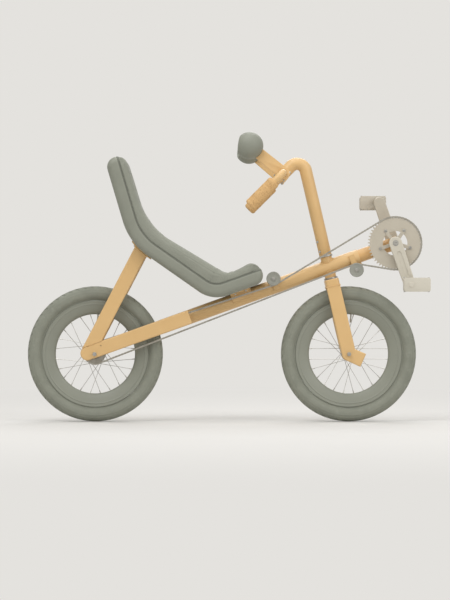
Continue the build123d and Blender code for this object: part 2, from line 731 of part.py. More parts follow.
# Axles: a rod through the hub with spacers to the frame, nuts outside it and bare ends
NUT_FLATS = 15.0
NUT_THICK = 9.0
AXLE_STUB = 8.0
SPACER_R = 9.0
BRAKE_PLATE = 4.0


def axle(centre, spans, nut_inner_y):
    """Axle rod with spacers over the given y spans and a nut outside each dropout."""
    end_y = nut_inner_y + NUT_THICK + AXLE_STUB
    with BuildSketch(side(end_y, centre)) as rod:
        Circle(AXLE_R)
    extrude(rod.sketch, amount=2 * end_y)
    for low_y, high_y in spans:
        with BuildSketch(side(high_y, centre)) as spacer:
            Circle(SPACER_R)
        extrude(spacer.sketch, amount=high_y - low_y)
    for face_y in (nut_inner_y + NUT_THICK, -nut_inner_y):
        with BuildSketch(side(face_y, centre)) as nut:
            RegularPolygon(NUT_FLATS / 2, 6, major_radius=False)
        extrude(nut.sketch, amount=NUT_THICK)


_, _, front_old, _, _, _, front_left, front_right = WHEELS[0]
with BuildPart() as front_axle:
    spans = (
        (front_left + RUN_GAP, front_old / 2),
        (-front_old / 2, -front_right - RUN_GAP),
    )
    axle(FRONT_AXLE, spans, front_old / 2 + BLADE_THICK)
front_axle.part.label = "front_axle"
export_step(front_axle.part, "parts/front_axle.step")

_, _, rear_old, _, _, _, rear_left, rear_right = WHEELS[1]
BRAKE_Y = rear_left + 8.0
with BuildPart() as rear_axle:
    spans = (
        (rear_left + RUN_GAP, BRAKE_Y),
        (BRAKE_Y + BRAKE_PLATE, rear_old / 2),
        (-rear_old / 2, -rear_right - RUN_GAP),
    )
    axle(REAR_AXLE, spans, rear_old / 2 + ARM_THICK)
rear_axle.part.label = "rear_axle"
export_step(rear_axle.part, "parts/rear_axle.step")

# Reaction arm of the back-pedal brake, clipped to the left rear arm
BRAKE_REACH = 150.0
BRAKE_HUB_R = 20.0
BRAKE_TIP_R = 9.0
BRAKE_CLIP = 22.0
brake_tip = (REAR_REACH - BRAKE_REACH, -REAR_DROP / 2)
with BuildPart() as brake_arm:
    with BuildSketch(tube_side(BRAKE_Y)):
        with Locations((REAR_REACH, -REAR_DROP)):
            Circle(BRAKE_HUB_R)
        with Locations(brake_tip):
            Circle(BRAKE_TIP_R)
        make_hull()
        with Locations((REAR_REACH, -REAR_DROP)):
            Circle(AXLE_R + FIT, mode=Mode.SUBTRACT)
    extrude(amount=BRAKE_PLATE)
    with BuildSketch(tube_side(BRAKE_Y + BRAKE_PLATE)):
        with Locations(brake_tip):
            Rectangle(BRAKE_CLIP, BRAKE_TIP_R)
    extrude(amount=ARM_INNER_Y - BRAKE_Y - BRAKE_PLATE)
brake_arm.part.label = "brake_arm"
export_step(brake_arm.part, "parts/brake_arm.step")

# Fork: steerer, crown, and two blades that end in a forward foot
CROWN_TOP = AXLE_TO_TUBE - HEAD_HALF - CUP_HEIGHT - RUN_GAP
CROWN_LOW = TYRE_R + CROWN_CLEAR
BLADE_OUTER_Y = FRONT_OLD / 2 + BLADE_THICK
CLAMP_LENGTH = 80.0
RISER_LOW = AXLE_TO_TUBE + HEAD_HALF + CUP_HEIGHT + RUN_GAP
with BuildPart() as steerer:
    with BuildSketch(steer_section(CROWN_LOW)):
        Circle(STEERER_R)
    extrude(amount=RISER_LOW + CLAMP_LENGTH - CROWN_LOW)
steerer.part.label = "steerer"
export_step(steerer.part, "parts/steerer.step")

CROWN_ROUND = 14.0
with BuildPart() as fork_crown:
    with BuildSketch(steer_section(CROWN_LOW)) as plan:
        Rectangle(BLADE_DEPTH, 2 * BLADE_OUTER_Y)
        fillet(plan.vertices(), CROWN_ROUND)
        Circle(STEERER_R + FIT, mode=Mode.SUBTRACT)
    extrude(amount=CROWN_TOP - CROWN_LOW)
    shoulders = fork_crown.edges().filter_by(lambda e: abs(e.tangent_at(0.5).dot(STEER_AHEAD)) > 0.999)
    fillet(shoulders.group_by(Axis.Z)[-1], 4)
fork_crown.part.label = "fork_crown"
export_step(fork_crown.part, "parts/fork_crown.step")

for name, way in SIDES:
    with BuildPart() as blade:
        outer_y = way * FRONT_OLD / 2 + BLADE_THICK * (way + 1) / 2
        with BuildSketch(steer_side(outer_y)):
            Rectangle(BLADE_DEPTH, CROWN_LOW, align=(Align.CENTER, Align.MIN))
            Circle(BLADE_DEPTH / 2)
            Rectangle(FOOT_LENGTH, BLADE_DEPTH, rotation=-FOOT_ANGLE, align=(Align.MIN, Align.CENTER))
        extrude(amount=BLADE_THICK)
        rim_edges = blade.faces().filter_by(Axis.Y).edges()
        rim_edges = rim_edges.filter_by(lambda e: (e.center() - FRONT_AXLE).dot(STEER_UP) < CROWN_LOW - 1)
        fillet(rim_edges, EDGE_ROUND)
        with BuildSketch(steer_side(outer_y)):
            Circle(AXLE_R + FIT)
        extrude(amount=BLADE_THICK, mode=Mode.SUBTRACT)
    blade.part.label = f"fork_blade_{name}"
    export_step(blade.part, f"parts/fork_blade_{name}.step")

# Riser: clamped on the steerer, bent rearward and down to the bar clamp
BAR_DOWN = 90 + BAR_SLOPE - STEER_TILT
bar_way = Vector(-cos(radians(BAR_SLOPE)), 0, -sin(radians(BAR_SLOPE)))
riser_top = on_steering(RISER_TOP)
bar_centre = riser_top + bar_way * STEM_LENGTH
with BuildPart() as riser:
    with BuildLine():
        FilletPolyline(on_steering(RISER_LOW), riser_top, bar_centre, radius=RISER_BEND_R)
    with BuildSketch(steer_section(RISER_LOW)):
        Circle(RISER_R)
    sweep()
    with BuildSketch(side(STEM_WIDTH / 2, bar_centre)):
        Circle(STEM_CLAMP_R)
    extrude(amount=STEM_WIDTH)
    with BuildSketch(side(STEM_WIDTH / 2, bar_centre)):
        Circle(BAR_R + FIT)
    extrude(amount=STEM_WIDTH, mode=Mode.SUBTRACT)
    with BuildSketch(steer_section(RISER_LOW)):
        Circle(STEERER_R + FIT)
    extrude(amount=CLAMP_LENGTH + RUN_GAP, mode=Mode.SUBTRACT)
riser.part.label = "riser"
export_step(riser.part, "parts/riser.step")

with BuildPart() as handlebar:
    bar_end = bar_centre + bar_way * BAR_END
    span = LEFTWARD * BAR_HALF_SPAN
    with BuildLine() as bar_path:
        FilletPolyline(bar_end + span, bar_centre + span, bar_centre - span, bar_end - span, radius=BAR_BEND_R)
    with BuildSketch(Plane(origin=bar_end + span, x_dir=(0, 1, 0), z_dir=bar_way)):
        Circle(BAR_R)
    sweep()
handlebar.part.label = "handlebar"
export_step(handlebar.part, "parts/handlebar.step")

GRIP_END_WALL = 4.0
for name, way in SIDES:
    grip_end = bar_centre + bar_way * (BAR_END + GRIP_END_WALL) + LEFTWARD * way * BAR_HALF_SPAN
    with BuildPart() as grip:
        with BuildSketch(Plane(origin=grip_end, x_dir=(0, 1, 0), z_dir=-bar_way)):
            Ellipse(GRIP_WIDTH / 2, GRIP_DEPTH / 2)
        extrude(amount=GRIP_LENGTH)
        fillet(grip.edges().filter_by(GeomType.ELLIPSE), 4)
        with BuildSketch(Plane(origin=grip_end - bar_way * GRIP_END_WALL, x_dir=(0, 1, 0), z_dir=-bar_way)):
            Circle(BAR_R + FIT)
        extrude(amount=GRIP_LENGTH, mode=Mode.SUBTRACT)
    grip.part.label = f"grip_{name}"
    export_step(grip.part, f"parts/grip_{name}.step")

# Mirrors: a flat arm clamped on the bar, a round housing and a convex glass facing the rider
MIRROR_ARM_TIP = 42.0
MIRROR_CLAMP_R = 25.0
GLASS_THICK = 3.0
GLASS_DOME = 10.0
GLASS_POCKET = 2.0
arm_way = Vector(-cos(radians(MIRROR_ARM_SLOPE)), 0, sin(radians(MIRROR_ARM_SLOPE)))
for name, way in SIDES:
    clamp_centre = bar_centre + LEFTWARD * way * MIRROR_Y
    mirror_centre = clamp_centre + arm_way * MIRROR_ARM
    looks = Vector(-1, 0, 0).rotate(Axis.Z, way * MIRROR_TOE_IN).rotate(Axis.Y, MIRROR_TILT)
    face = Plane(origin=mirror_centre, x_dir=Vector(0, 1, 0).cross(looks), z_dir=looks)
    with BuildPart() as mirror_arm:
        with BuildSketch(side(clamp_centre.Y + MIRROR_ARM_THICK / 2, clamp_centre)):
            Circle(MIRROR_CLAMP_R)
            with Locations((arm_way.X * MIRROR_ARM, arm_way.Z * MIRROR_ARM)):
                Circle(MIRROR_ARM_TIP / 2)
            make_hull()
            Circle(BAR_R + FIT, mode=Mode.SUBTRACT)
        extrude(amount=MIRROR_ARM_THICK)
        with BuildSketch(face * Plane.XZ):
            with BuildLine():
                Polyline((0, -MIRROR_R - SEAT_GAP), (0, MIRROR_R + SEAT_GAP))
                ThreePointArc((0, MIRROR_R + SEAT_GAP), (MIRROR_R + SEAT_GAP, 0), (0, -MIRROR_R - SEAT_GAP))
            make_face()
        revolve(axis=Axis(mirror_centre, looks), mode=Mode.SUBTRACT)
    mirror_arm.part.label = f"mirror_arm_{name}"
    export_step(mirror_arm.part, f"parts/mirror_arm_{name}.step")

    glass_r = sqrt(MIRROR_R**2 - MIRROR_CUT**2) - 2 * GLASS_THICK
    with BuildPart() as mirror:
        with BuildSketch(face * Plane.XZ):
            with BuildLine():
                Line((0, -MIRROR_R), (0, MIRROR_CUT))
                Line((0, MIRROR_CUT), (sqrt(MIRROR_R**2 - MIRROR_CUT**2), MIRROR_CUT))
                RadiusArc((sqrt(MIRROR_R**2 - MIRROR_CUT**2), MIRROR_CUT), (0, -MIRROR_R), MIRROR_R)
            make_face()
        revolve(axis=Axis(mirror_centre, looks))
        with BuildSketch(face.offset(MIRROR_CUT)):
            Circle(glass_r + SEAT_GAP)
        extrude(amount=-GLASS_POCKET, mode=Mode.SUBTRACT)
    mirror.part.label = f"mirror_{name}"
    export_step(mirror.part, f"parts/mirror_{name}.step")

    with BuildPart() as glass:
        with BuildSketch(face.offset(MIRROR_CUT - GLASS_POCKET) * Plane.XZ):
            with BuildLine():
                Polyline((0, GLASS_DOME), (0, 0), (glass_r, 0), (glass_r, GLASS_THICK))
                chord = (glass_r**2 + (GLASS_DOME - GLASS_THICK) ** 2) / (2 * (GLASS_DOME - GLASS_THICK))
                RadiusArc((glass_r, GLASS_THICK), (0, GLASS_DOME), -chord)
            make_face()
        revolve(axis=Axis(mirror_centre, looks))
    glass.part.label = f"mirror_glass_{name}"
    export_step(glass.part, f"parts/mirror_glass_{name}.step")

# Chainring: toothed plate round an open centre, on a five-arm spider
SPIDER_ARMS = 5
SPIDER_HUB_R = 20.0
SPIDER_ARM_WIDTH = 14.0
SPIDER_REACH = 62.0
SPIDER_THICK = 3.0
RING_BOLT_R = 4.0
with BuildPart() as chainring:
    with BuildSketch(wheel_side(RING, CHAIN_Y - TOOTH_THICK / 2)):
        tooth_face(RING_TEETH)
        Circle(RING_BORE_R, mode=Mode.SUBTRACT)
    extrude(amount=TOOTH_THICK)
    with BuildSketch(wheel_side(RING, CHAIN_Y - TOOTH_THICK / 2)):
        Circle(SPIDER_HUB_R)
        with PolarLocations(0, SPIDER_ARMS):
            Rectangle(SPIDER_REACH, SPIDER_ARM_WIDTH, align=(Align.MIN, Align.CENTER))
        with PolarLocations(SPIDER_REACH, SPIDER_ARMS):
            Circle(SPIDER_ARM_WIDTH / 2)
        Circle(SPINDLE_R + FIT, mode=Mode.SUBTRACT)
    extrude(amount=-SPIDER_THICK)
chainring.part.label = "chainring"
export_step(chainring.part, "parts/chainring.step")

# Cranks on their spindle; the right one points down and ahead
CRANK_OUTER_Y = CRANK_INNER_Y + CRANK_THICK
SPIDER_FACE_Y = -CHAIN_Y + TOOTH_THICK / 2 + SPIDER_THICK
CRANK_HUB_R = 19.0
FLUTE_DEPTH = 3.0
FLUTE_WIDTH = 18.0
with BuildPart() as crank_spindle:
    with BuildSketch(side(CRANK_OUTER_Y, on_tube(0))):
        Circle(SPINDLE_R)
    extrude(amount=2 * CRANK_OUTER_Y)
crank_spindle.part.label = "crank_spindle"
export_step(crank_spindle.part, "parts/crank_spindle.step")

CRANK_WAY = {
    "right": Vector(sin(radians(CRANK_ANGLE)), 0, -cos(radians(CRANK_ANGLE))),
    "left": Vector(-sin(radians(CRANK_ANGLE)), 0, cos(radians(CRANK_ANGLE))),
}
for name, way in SIDES:
    reach = CRANK_WAY[name]
    tip = (reach.X * CRANK_LENGTH, reach.Z * CRANK_LENGTH)
    outer_y = way * CRANK_OUTER_Y
    hub_inner = SPIDER_FACE_Y if way < 0 else BB_SHELL_WIDTH / 2 + BB_CUP_LIP + RUN_GAP
    with BuildPart() as crank:
        with BuildSketch(side(outer_y, on_tube(0))):
            Circle(CRANK_DEPTH / 2)
            with Locations(tip):
                Circle(CRANK_TIP_DEPTH / 2)
            make_hull()
        extrude(amount=way * CRANK_THICK)
        fillet(crank.faces().filter_by(Axis.Y).edges(), 3)
        with BuildSketch(side(way * CRANK_INNER_Y, on_tube(0))):
            Circle(CRANK_HUB_R)
        extrude(amount=way * (CRANK_INNER_Y - hub_inner))
        with BuildSketch(side(outer_y, on_tube(0))):
            with Locations((tip[0] / 2, tip[1] / 2)):
                SlotOverall(CRANK_LENGTH * 0.6, FLUTE_WIDTH, rotation=degrees(atan2(tip[1], tip[0])))
        extrude(amount=way * FLUTE_DEPTH, mode=Mode.SUBTRACT)
        with BuildSketch(side(outer_y, on_tube(0))):
            Circle(SPINDLE_R + FIT)
        extrude(amount=way * CRANK_OUTER_Y, mode=Mode.SUBTRACT)
    crank.part.label = f"crank_{name}"
    export_step(crank.part, f"parts/crank_{name}.step")

PEDAL_INNER_Y = CRANK_OUTER_Y + PEDAL_GAP
PEDAL_FLANGE_R = 11.0
PEDAL_CAP = 8.0
with BuildPart() as pedal_spindles:
    for name, way in SIDES:
        centre = on_tube(0) + CRANK_WAY[name] * CRANK_LENGTH
        with BuildSketch(side(way * CRANK_OUTER_Y, centre)):
            Circle(PEDAL_FLANGE_R)
        extrude(amount=-way * (PEDAL_GAP - RUN_GAP))
        with BuildSketch(side(way * CRANK_OUTER_Y, centre)):
            Circle(PEDAL_SPINDLE_R)
        extrude(amount=-way * (PEDAL_GAP + PEDAL_WIDTH - PEDAL_CAP))
pedal_spindles.part.label = "pedal_spindles"
export_step(pedal_spindles.part, "parts/pedal_spindles.step")

PEDAL_ROUND = 9.0
WINDOW_WALL = 8.0
for name, way in SIDES:
    centre = on_tube(0) + CRANK_WAY[name] * CRANK_LENGTH
    with BuildPart() as pedal:
        with BuildSketch(side(way * PEDAL_INNER_Y, centre)) as outline:
            with Locations((-way * (PEDAL_LONG - PEDAL_SHORT) / 2, 0)):
                Rectangle(PEDAL_LONG + PEDAL_SHORT, PEDAL_HEIGHT)
            fillet(outline.vertices(), PEDAL_ROUND)
        extrude(amount=-way * PEDAL_WIDTH)
        with BuildSketch(side(way * PEDAL_INNER_Y, centre)):
            Circle(PEDAL_SPINDLE_R + FIT)
        extrude(amount=-way * (PEDAL_WIDTH - PEDAL_CAP + RUN_GAP), mode=Mode.SUBTRACT)
    pedal.part.label = f"pedal_{name}"
    export_step(pedal.part, f"parts/pedal_{name}.step")
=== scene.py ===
import json
from bisect import bisect
from cmath import phase, rect
from math import acos, asin, atan2, copysign, cos, pi, radians, sin, sqrt, tan

import bmesh
import bpy
from mathutils import Matrix, Vector, kdtree
from mathutils.bvhtree import BVHTree


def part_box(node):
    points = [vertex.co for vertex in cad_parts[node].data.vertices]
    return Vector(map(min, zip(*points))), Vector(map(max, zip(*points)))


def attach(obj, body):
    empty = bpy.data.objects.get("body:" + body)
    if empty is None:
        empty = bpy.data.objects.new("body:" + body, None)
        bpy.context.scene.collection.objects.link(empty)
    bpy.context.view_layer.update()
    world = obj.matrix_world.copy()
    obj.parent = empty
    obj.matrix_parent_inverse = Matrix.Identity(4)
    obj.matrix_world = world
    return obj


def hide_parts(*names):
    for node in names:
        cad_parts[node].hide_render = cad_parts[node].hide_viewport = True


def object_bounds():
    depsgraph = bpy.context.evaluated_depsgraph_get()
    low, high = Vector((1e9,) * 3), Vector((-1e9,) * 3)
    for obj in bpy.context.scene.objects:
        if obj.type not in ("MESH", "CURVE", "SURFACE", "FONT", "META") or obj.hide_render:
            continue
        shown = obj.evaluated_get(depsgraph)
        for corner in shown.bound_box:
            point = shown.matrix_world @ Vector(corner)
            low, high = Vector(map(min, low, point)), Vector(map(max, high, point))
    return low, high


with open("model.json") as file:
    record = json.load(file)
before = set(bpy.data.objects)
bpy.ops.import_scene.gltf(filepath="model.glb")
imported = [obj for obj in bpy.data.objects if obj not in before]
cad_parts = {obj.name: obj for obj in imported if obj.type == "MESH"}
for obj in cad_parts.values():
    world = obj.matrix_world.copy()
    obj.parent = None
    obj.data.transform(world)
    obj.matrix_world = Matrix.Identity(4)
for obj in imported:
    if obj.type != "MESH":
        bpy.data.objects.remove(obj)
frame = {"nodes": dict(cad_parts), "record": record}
cad_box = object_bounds()

# Recumbent bicycle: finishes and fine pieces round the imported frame. Metres, +X forward, +Z up.
TAU = 2 * pi
MM = 0.001
LEFT = Vector((0, 1, 0))
SIDES = (("left", 1), ("right", -1))

# Places and directions, from the frame's joints
JOINTS = {joint["name"]: joint for joint in frame["record"]["behaviour"]["joints"]}
PLACE = {name: Vector(joint["pos_m"]) for name, joint in JOINTS.items()}
FRONT_AXLE = PLACE["front_wheel_spin"]
REAR_AXLE = PLACE["rear_wheel_spin"]
BB = PLACE["crank_spin"]
REAR_DROP = 12 * MM
TUBE_RUN = BB - REAR_AXLE
TUBE_ANGLE = atan2(TUBE_RUN.z, TUBE_RUN.x) - asin(REAR_DROP / TUBE_RUN.length)
STEER_UP = Vector(JOINTS["steer"]["axis"]).normalized()
STEER_AHEAD = Vector((STEER_UP.z, 0, -STEER_UP.x))
TUBE_BACK = Vector((-cos(TUBE_ANGLE), 0, -sin(TUBE_ANGLE)))
TUBE_UP = Vector((-sin(TUBE_ANGLE), 0, cos(TUBE_ANGLE)))


def on_tube(back, up=0.0, y=0.0):
    """Point along the main tube from the bottom bracket, above its centreline and to the left."""
    return BB + TUBE_BACK * back + TUBE_UP * up + LEFT * y


def on_steering(up, ahead=0.0, y=0.0):
    """Point along the steering axis from the front axle, ahead of it and to the left."""
    return FRONT_AXLE + STEER_UP * up + STEER_AHEAD * ahead + LEFT * y


TUBE_R = 29 * MM
HEAD_HALF = 42 * MM
APEX_PAST_AXLE = 26 * MM
HEAD_TO_TUBE_FRONT = 130 * MM
REAR_REACH = -TUBE_RUN.dot(TUBE_BACK)
APEX = on_tube(REAR_REACH + APEX_PAST_AXLE)
HOLD = Vector((-344 * MM, 0, 92 * MM))
STRUT_UP = (HOLD - APEX).normalized()
STRUT_AHEAD = Vector((STRUT_UP.z, 0, -STRUT_UP.x))
AXLE_TO_TUBE = (BB - FRONT_AXLE).dot(TUBE_UP) / STEER_UP.dot(TUBE_UP)
HEAD = on_steering(AXLE_TO_TUBE)
TUBE_FRONT = (HEAD - BB).dot(TUBE_BACK) - HEAD_TO_TUBE_FRONT
RISER_LOW = AXLE_TO_TUBE + 49.5 * MM

# Colours as they display
TAN = (219, 181, 124)
TAN_DEEP = (204, 163, 104)
OLIVE = (138, 140, 127)
OLIVE_DEEP = (118, 120, 108)
BEIGE = (192, 184, 168)
# On the near pedal this lighter beige is painted light, against the far pedal's BEIGE as painted shade
BEIGE_LIGHT = (205, 199, 184)
NICKEL = (172, 168, 158)
SURROUND = (228, 226, 222)
FLOOR_LIT = (217, 215, 211)
SRGB_KNEE = 0.04045
# Sockets of the colour Mix node: the two colours and the mixed one
MIX_UNDER, MIX_OVER, MIX_RESULT = 6, 7, 2


def linear(red, green, blue):
    """Linear colour of a display colour."""
    shares = [channel / 255 for channel in (red, green, blue)]
    return (*[s / 12.92 if s <= SRGB_KNEE else ((s + 0.055) / 1.055) ** 2.4 for s in shares], 1.0)


def add_node(tree, kind, inputs, **settings):
    """A shader node with its settings; each input is a value or another node's output."""
    node = tree.nodes.new("ShaderNode" + kind)
    for name, value in settings.items():
        setattr(node, name, value)
    for name, value in inputs.items():
        if isinstance(value, bpy.types.NodeSocket):
            tree.links.new(value, node.inputs[name])
        else:
            node.inputs[name].default_value = value
    return node


class Shader:
    """A principled material fed by procedural nodes in object space."""

    def __init__(self, name, colour, roughness, metallic=0.0, place=None, edge=None):
        self.material = bpy.data.materials.new(name)
        self.material.use_nodes = True
        self.tree = self.material.node_tree
        self.surface = self.tree.nodes["Principled BSDF"]
        self.base = linear(*colour)
        self.set(Base_Color=self.base, Roughness=roughness, Metallic=metallic)
        if place:
            self.place = self.node("Attribute", {}, attribute_name=place).outputs["Vector"]
        else:
            self.place = self.node("TexCoord", {}).outputs["Object"]
        self.normal = None
        if edge:
            self.feed("Normal", self.node("Bevel", {"Radius": edge}, samples=4).outputs["Normal"])

    def node(self, kind, inputs, **settings):
        return add_node(self.tree, kind, inputs, **settings)

    def set(self, **inputs):
        for name, value in inputs.items():
            self.surface.inputs[name.replace("_", " ")].default_value = value
        return self

    def feed(self, socket, output):
        """Links an output to a socket of the surface."""
        self.tree.links.new(output, self.surface.inputs[socket])
        if socket == "Normal":
            self.normal = output
        return self

    def stretched(self, x, y, z):
        """Coordinates scaled by a factor along each axis."""
        return self.node("Mapping", {"Scale": (x, y, z), "Vector": self.place}).outputs["Vector"]

    def noise(self, size, detail=3.0, place=None):
        """Noise with features about size metres across."""
        inputs = {"Scale": 1 / size, "Detail": detail, "Vector": place or self.place}
        return self.node("TexNoise", inputs).outputs["Fac"]

    def cells(self, size, feature="F1", output="Distance"):
        """Voronoi cells about size metres across."""
        return self.node("TexVoronoi", {"Scale": 1 / size, "Vector": self.place}, feature=feature).outputs[output]

    def wave(self, size, direction):
        """Sine bands size metres apart along X, Y or Z."""
        inputs = {"Scale": TAU / (20 * size), "Vector": self.place}
        return self.node("TexWave", inputs, bands_direction=direction).outputs["Fac"]

    def spread(self, value, low, high, to_low=0.0, to_high=1.0):
        """Maps a value from one range to another, clamped."""
        inputs = {"Value": value, "From Min": low, "From Max": high, "To Min": to_low, "To Max": to_high}
        return self.node("MapRange", inputs).outputs["Result"]

    def combine(self, operation, first, second):
        """Result of a math operation on node outputs and numbers."""
        return self.node("Math", {0: first, 1: second}, operation=operation).outputs["Value"]

    def tint(self, value, low, high, share, colour):
        """Mixes up to a share of a display colour over the base colour, as a value goes from low to high."""
        factor = self.spread(value, low, high, 0.0, share)
        inputs = {"Factor": factor, MIX_UNDER: self.base, MIX_OVER: linear(*colour)}
        self.base = self.node("Mix", inputs, data_type="RGBA").outputs[MIX_RESULT]
        return self.feed("Base Color", self.base)

    def rough(self, value, low, high):
        """Roughness that follows a 0 to 1 value."""
        return self.feed("Roughness", self.spread(value, 0, 1, low, high))

    def bump(self, value, depth):
        """Adds a height of at most depth metres."""
        inputs = {"Strength": 1.0, "Distance": depth, "Height": value}
        if self.normal is not None:
            inputs["Normal"] = self.normal
        return self.feed("Normal", self.node("Bump", inputs).outputs["Normal"])


# Materials: every noise, wave and cell size and every bump depth is in metres, every share and roughness 0 to 1
def paint(name, colour, deep):
    """Satin powder coat with fine orange peel, faint clouding and a trace of dust."""
    shader = Shader(name, colour, 0.42, edge=1.2 * MM)
    shader.tint(shader.noise(0.13, 2.0), 0.4, 0.75, 0.3, deep)
    shader.rough(shader.noise(0.025), 0.36, 0.52)
    shader.bump(shader.noise(0.0022, 2.0), 0.00006)
    return shader.set(Coat_Weight=0.15, Coat_Roughness=0.35).material


def rubber(name, colour, deep, pale):
    """Matt vulcanised rubber: fine grain, dusty patches and a mould bloom."""
    shader = Shader(name, colour, 0.82)
    shader.tint(shader.noise(0.06, 4.0), 0.45, 0.75, 0.45, deep)
    shader.tint(shader.noise(0.021, 6.0), 0.58, 0.8, 0.4, pale)
    shader.rough(shader.noise(0.01), 0.72, 0.92)
    return shader.bump(shader.noise(0.0009, 4.0), 0.00012).material


def moulded(name, colour, deep, grain=0.0012):
    """Moulded plastic with a fine pebbled grain and light scuffs."""
    shader = Shader(name, colour, 0.55)
    shader.tint(shader.noise(0.09, 3.0), 0.42, 0.78, 0.35, deep)
    shader.rough(shader.noise(0.02, 5.0, shader.stretched(1, 3, 0.6)), 0.46, 0.66)
    return shader.bump(shader.cells(grain), 0.00009).material


def metal(name, colour, deep, roughness):
    """Satin metal: clouded colour and a fine bead-blasted surface."""
    shader = Shader(name, colour, roughness, 1.0, edge=0.5 * MM)
    shader.tint(shader.noise(0.03, 4.0), 0.45, 0.75, 0.5, deep)
    shader.rough(shader.noise(0.008, 5.0), roughness - 0.07, roughness + 0.09)
    return shader.bump(shader.noise(0.0011, 3.0), 0.00002).material


def anodised(name, colour, deep):
    """Beige anodised alloy, between metal and paint in its sheen."""
    shader = Shader(name, colour, 0.4, 0.25, edge=0.8 * MM)
    shader.tint(shader.noise(0.05, 3.0), 0.4, 0.75, 0.35, deep)
    shader.rough(shader.noise(0.012, 4.0), 0.34, 0.5)
    return shader.bump(shader.noise(0.0008, 2.0), 0.00003).material


def spacer_fabric(name, colour, deep, pale):
    """Open knitted spacer fabric: small cells in rows along the seat, with a soft nap."""
    shader = Shader(name, colour, 0.88, place="run")
    knit = shader.combine("MULTIPLY", shader.wave(0.0036, "Y"), shader.wave(0.0044, "X"))
    shader.tint(knit, 0.5, 0.95, 0.75, deep)
    shader.tint(shader.noise(0.05, 3.0), 0.5, 0.8, 0.35, pale)
    shader.rough(shader.noise(0.004), 0.8, 0.95)
    shader.bump(shader.combine("SUBTRACT", 1.0, knit), 0.0006)
    shader.bump(shader.noise(0.0008, 3.0), 0.0001)
    return shader.set(Sheen_Weight=0.15, Sheen_Roughness=0.5).material


def woven(name, colour, deep):
    """Narrow woven tape: fine crossing ribs with a soft nap."""
    shader = Shader(name, colour, 0.85)
    ribs = shader.combine("MULTIPLY", shader.wave(0.0016, "X"), shader.wave(0.0016, "Z"))
    shader.tint(ribs, 0.4, 0.95, 0.7, deep)
    shader.rough(shader.noise(0.004), 0.78, 0.92)
    return shader.bump(ribs, 0.0002).material


def cork(name, colour, deep, dark):
    """Pressed cork granules in a rubber binder."""
    shader = Shader(name, colour, 0.78)
    shade = shader.node("SeparateColor", {"Color": shader.cells(0.0035, output="Color")})
    shader.tint(shade.outputs["Red"], 0.0, 1.0, 0.3, deep)
    shader.tint(shade.outputs["Green"], 0.82, 0.86, 0.34, dark)
    shader.rough(shader.noise(0.005), 0.7, 0.88)
    return shader.bump(shader.cells(0.0035, "DISTANCE_TO_EDGE"), 0.00025).material


def mirror_glass(name, colour, haze):
    """Silvered convex glass with the faintest haze."""
    shader = Shader(name, colour, 0.04, 1.0)
    shader.tint(shader.noise(0.03), 0.5, 0.8, 0.2, haze)
    return shader.rough(shader.noise(0.015, 5.0), 0.02, 0.09).material


MATERIAL = {
    "frame_paint": paint("satin_tan_paint", TAN, TAN_DEEP),
    "bar_paint": paint("satin_tan_bar_paint", TAN, TAN_DEEP),
    "grip_cork": cork("pressed_cork", (216, 176, 120), (192, 150, 98), (150, 108, 64)),
    "bearing_steel": metal("satin_steel", (178, 176, 170), (150, 148, 142), 0.34),
    "seat_shell": moulded("moulded_shell", OLIVE, OLIVE_DEEP),
    "seat_fabric": spacer_fabric("spacer_fabric", (144, 146, 133), (104, 106, 95), (154, 156, 143)),
    "idler_plastic": moulded("idler_plastic", (150, 150, 140), OLIVE_DEEP, 0.0008),
    "chain_steel": metal("nickel_chain", NICKEL, (126, 118, 102), 0.36),
    "tyre_rubber": rubber("tyre_rubber", OLIVE, OLIVE_DEEP, (158, 160, 147)),
    "rim_paint": paint("satin_olive_paint", OLIVE, (128, 130, 118)),
    "hub_alloy": metal("hub_alloy", NICKEL, (150, 146, 136), 0.32),
    "sprocket_steel": metal("sprocket_steel", (160, 156, 146), (116, 110, 100), 0.4),
    "ring_alloy": anodised("beige_anodised", BEIGE, (178, 170, 152)),
    "crank_alloy": anodised("light_beige_anodised", BEIGE_LIGHT, (190, 183, 167)),
    # One pedal plastic in two painted tones: the near pedal painted lighter as lit, the far pedal painted darker as
    # shaded
    "pedal_near": moulded("pedal_plastic_painted_lit", BEIGE_LIGHT, (188, 181, 165)),
    "pedal_far": moulded("pedal_plastic_painted_shade", BEIGE, (174, 166, 149)),
    "mirror_housing": moulded("mirror_plastic", OLIVE, OLIVE_DEEP),
    "mirror_face": mirror_glass("mirror_glass", (214, 220, 220), (190, 200, 204)),
}
# Materials of pieces that look unlike the rest of their slot
LOOK = {
    "boom": paint("satin_deep_tan_paint", (219, 175, 114), (206, 161, 98)),
    "thread": rubber("seat_thread", (160, 162, 149), (140, 142, 130), (170, 172, 160)),
    "tape": woven("welt_tape", (124, 126, 114), (98, 100, 90)),
    "edging": rubber("edging_rubber", (112, 114, 103), (98, 100, 90), (126, 128, 117)),
}
SLOT = {row["node"]: row["material_slot"] for row in frame["record"]["subparts"]}
for node_name, node_object in frame["nodes"].items():
    node_object.data.materials.clear()
    node_object.data.materials.append(LOOK["boom"] if node_name == "boom" else MATERIAL[SLOT[node_name]])


def linked(name, data):
    """New object, linked to the scene."""
    made = bpy.data.objects.new(name, data)
    bpy.context.scene.collection.objects.link(made)
    return made


def finish(piece, slot, body, stands_for=(), look=None):
    """Gives a new piece its material, its body and the nodes that it stands for."""
    piece.data.materials.clear()
    piece.data.materials.append(LOOK[look] if look else MATERIAL[slot])
    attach(piece, body)
    if stands_for:
        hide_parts(*stands_for)


def reworked(mesh, join, flat=None):
    """Joins a mesh's close corners, clears what that leaves, or what is flat, and turns its faces out."""
    work = bmesh.new()
    work.from_mesh(mesh)
    bmesh.ops.remove_doubles(work, verts=work.verts, dist=join)
    if flat:
        bmesh.ops.dissolve_limit(work, angle_limit=flat, verts=work.verts, edges=work.edges)
    else:
        bmesh.ops.dissolve_degenerate(work, edges=work.edges, dist=join / 10)
    bmesh.ops.recalc_face_normals(work, faces=work.faces)
    work.to_mesh(mesh)
    work.free()
    return mesh


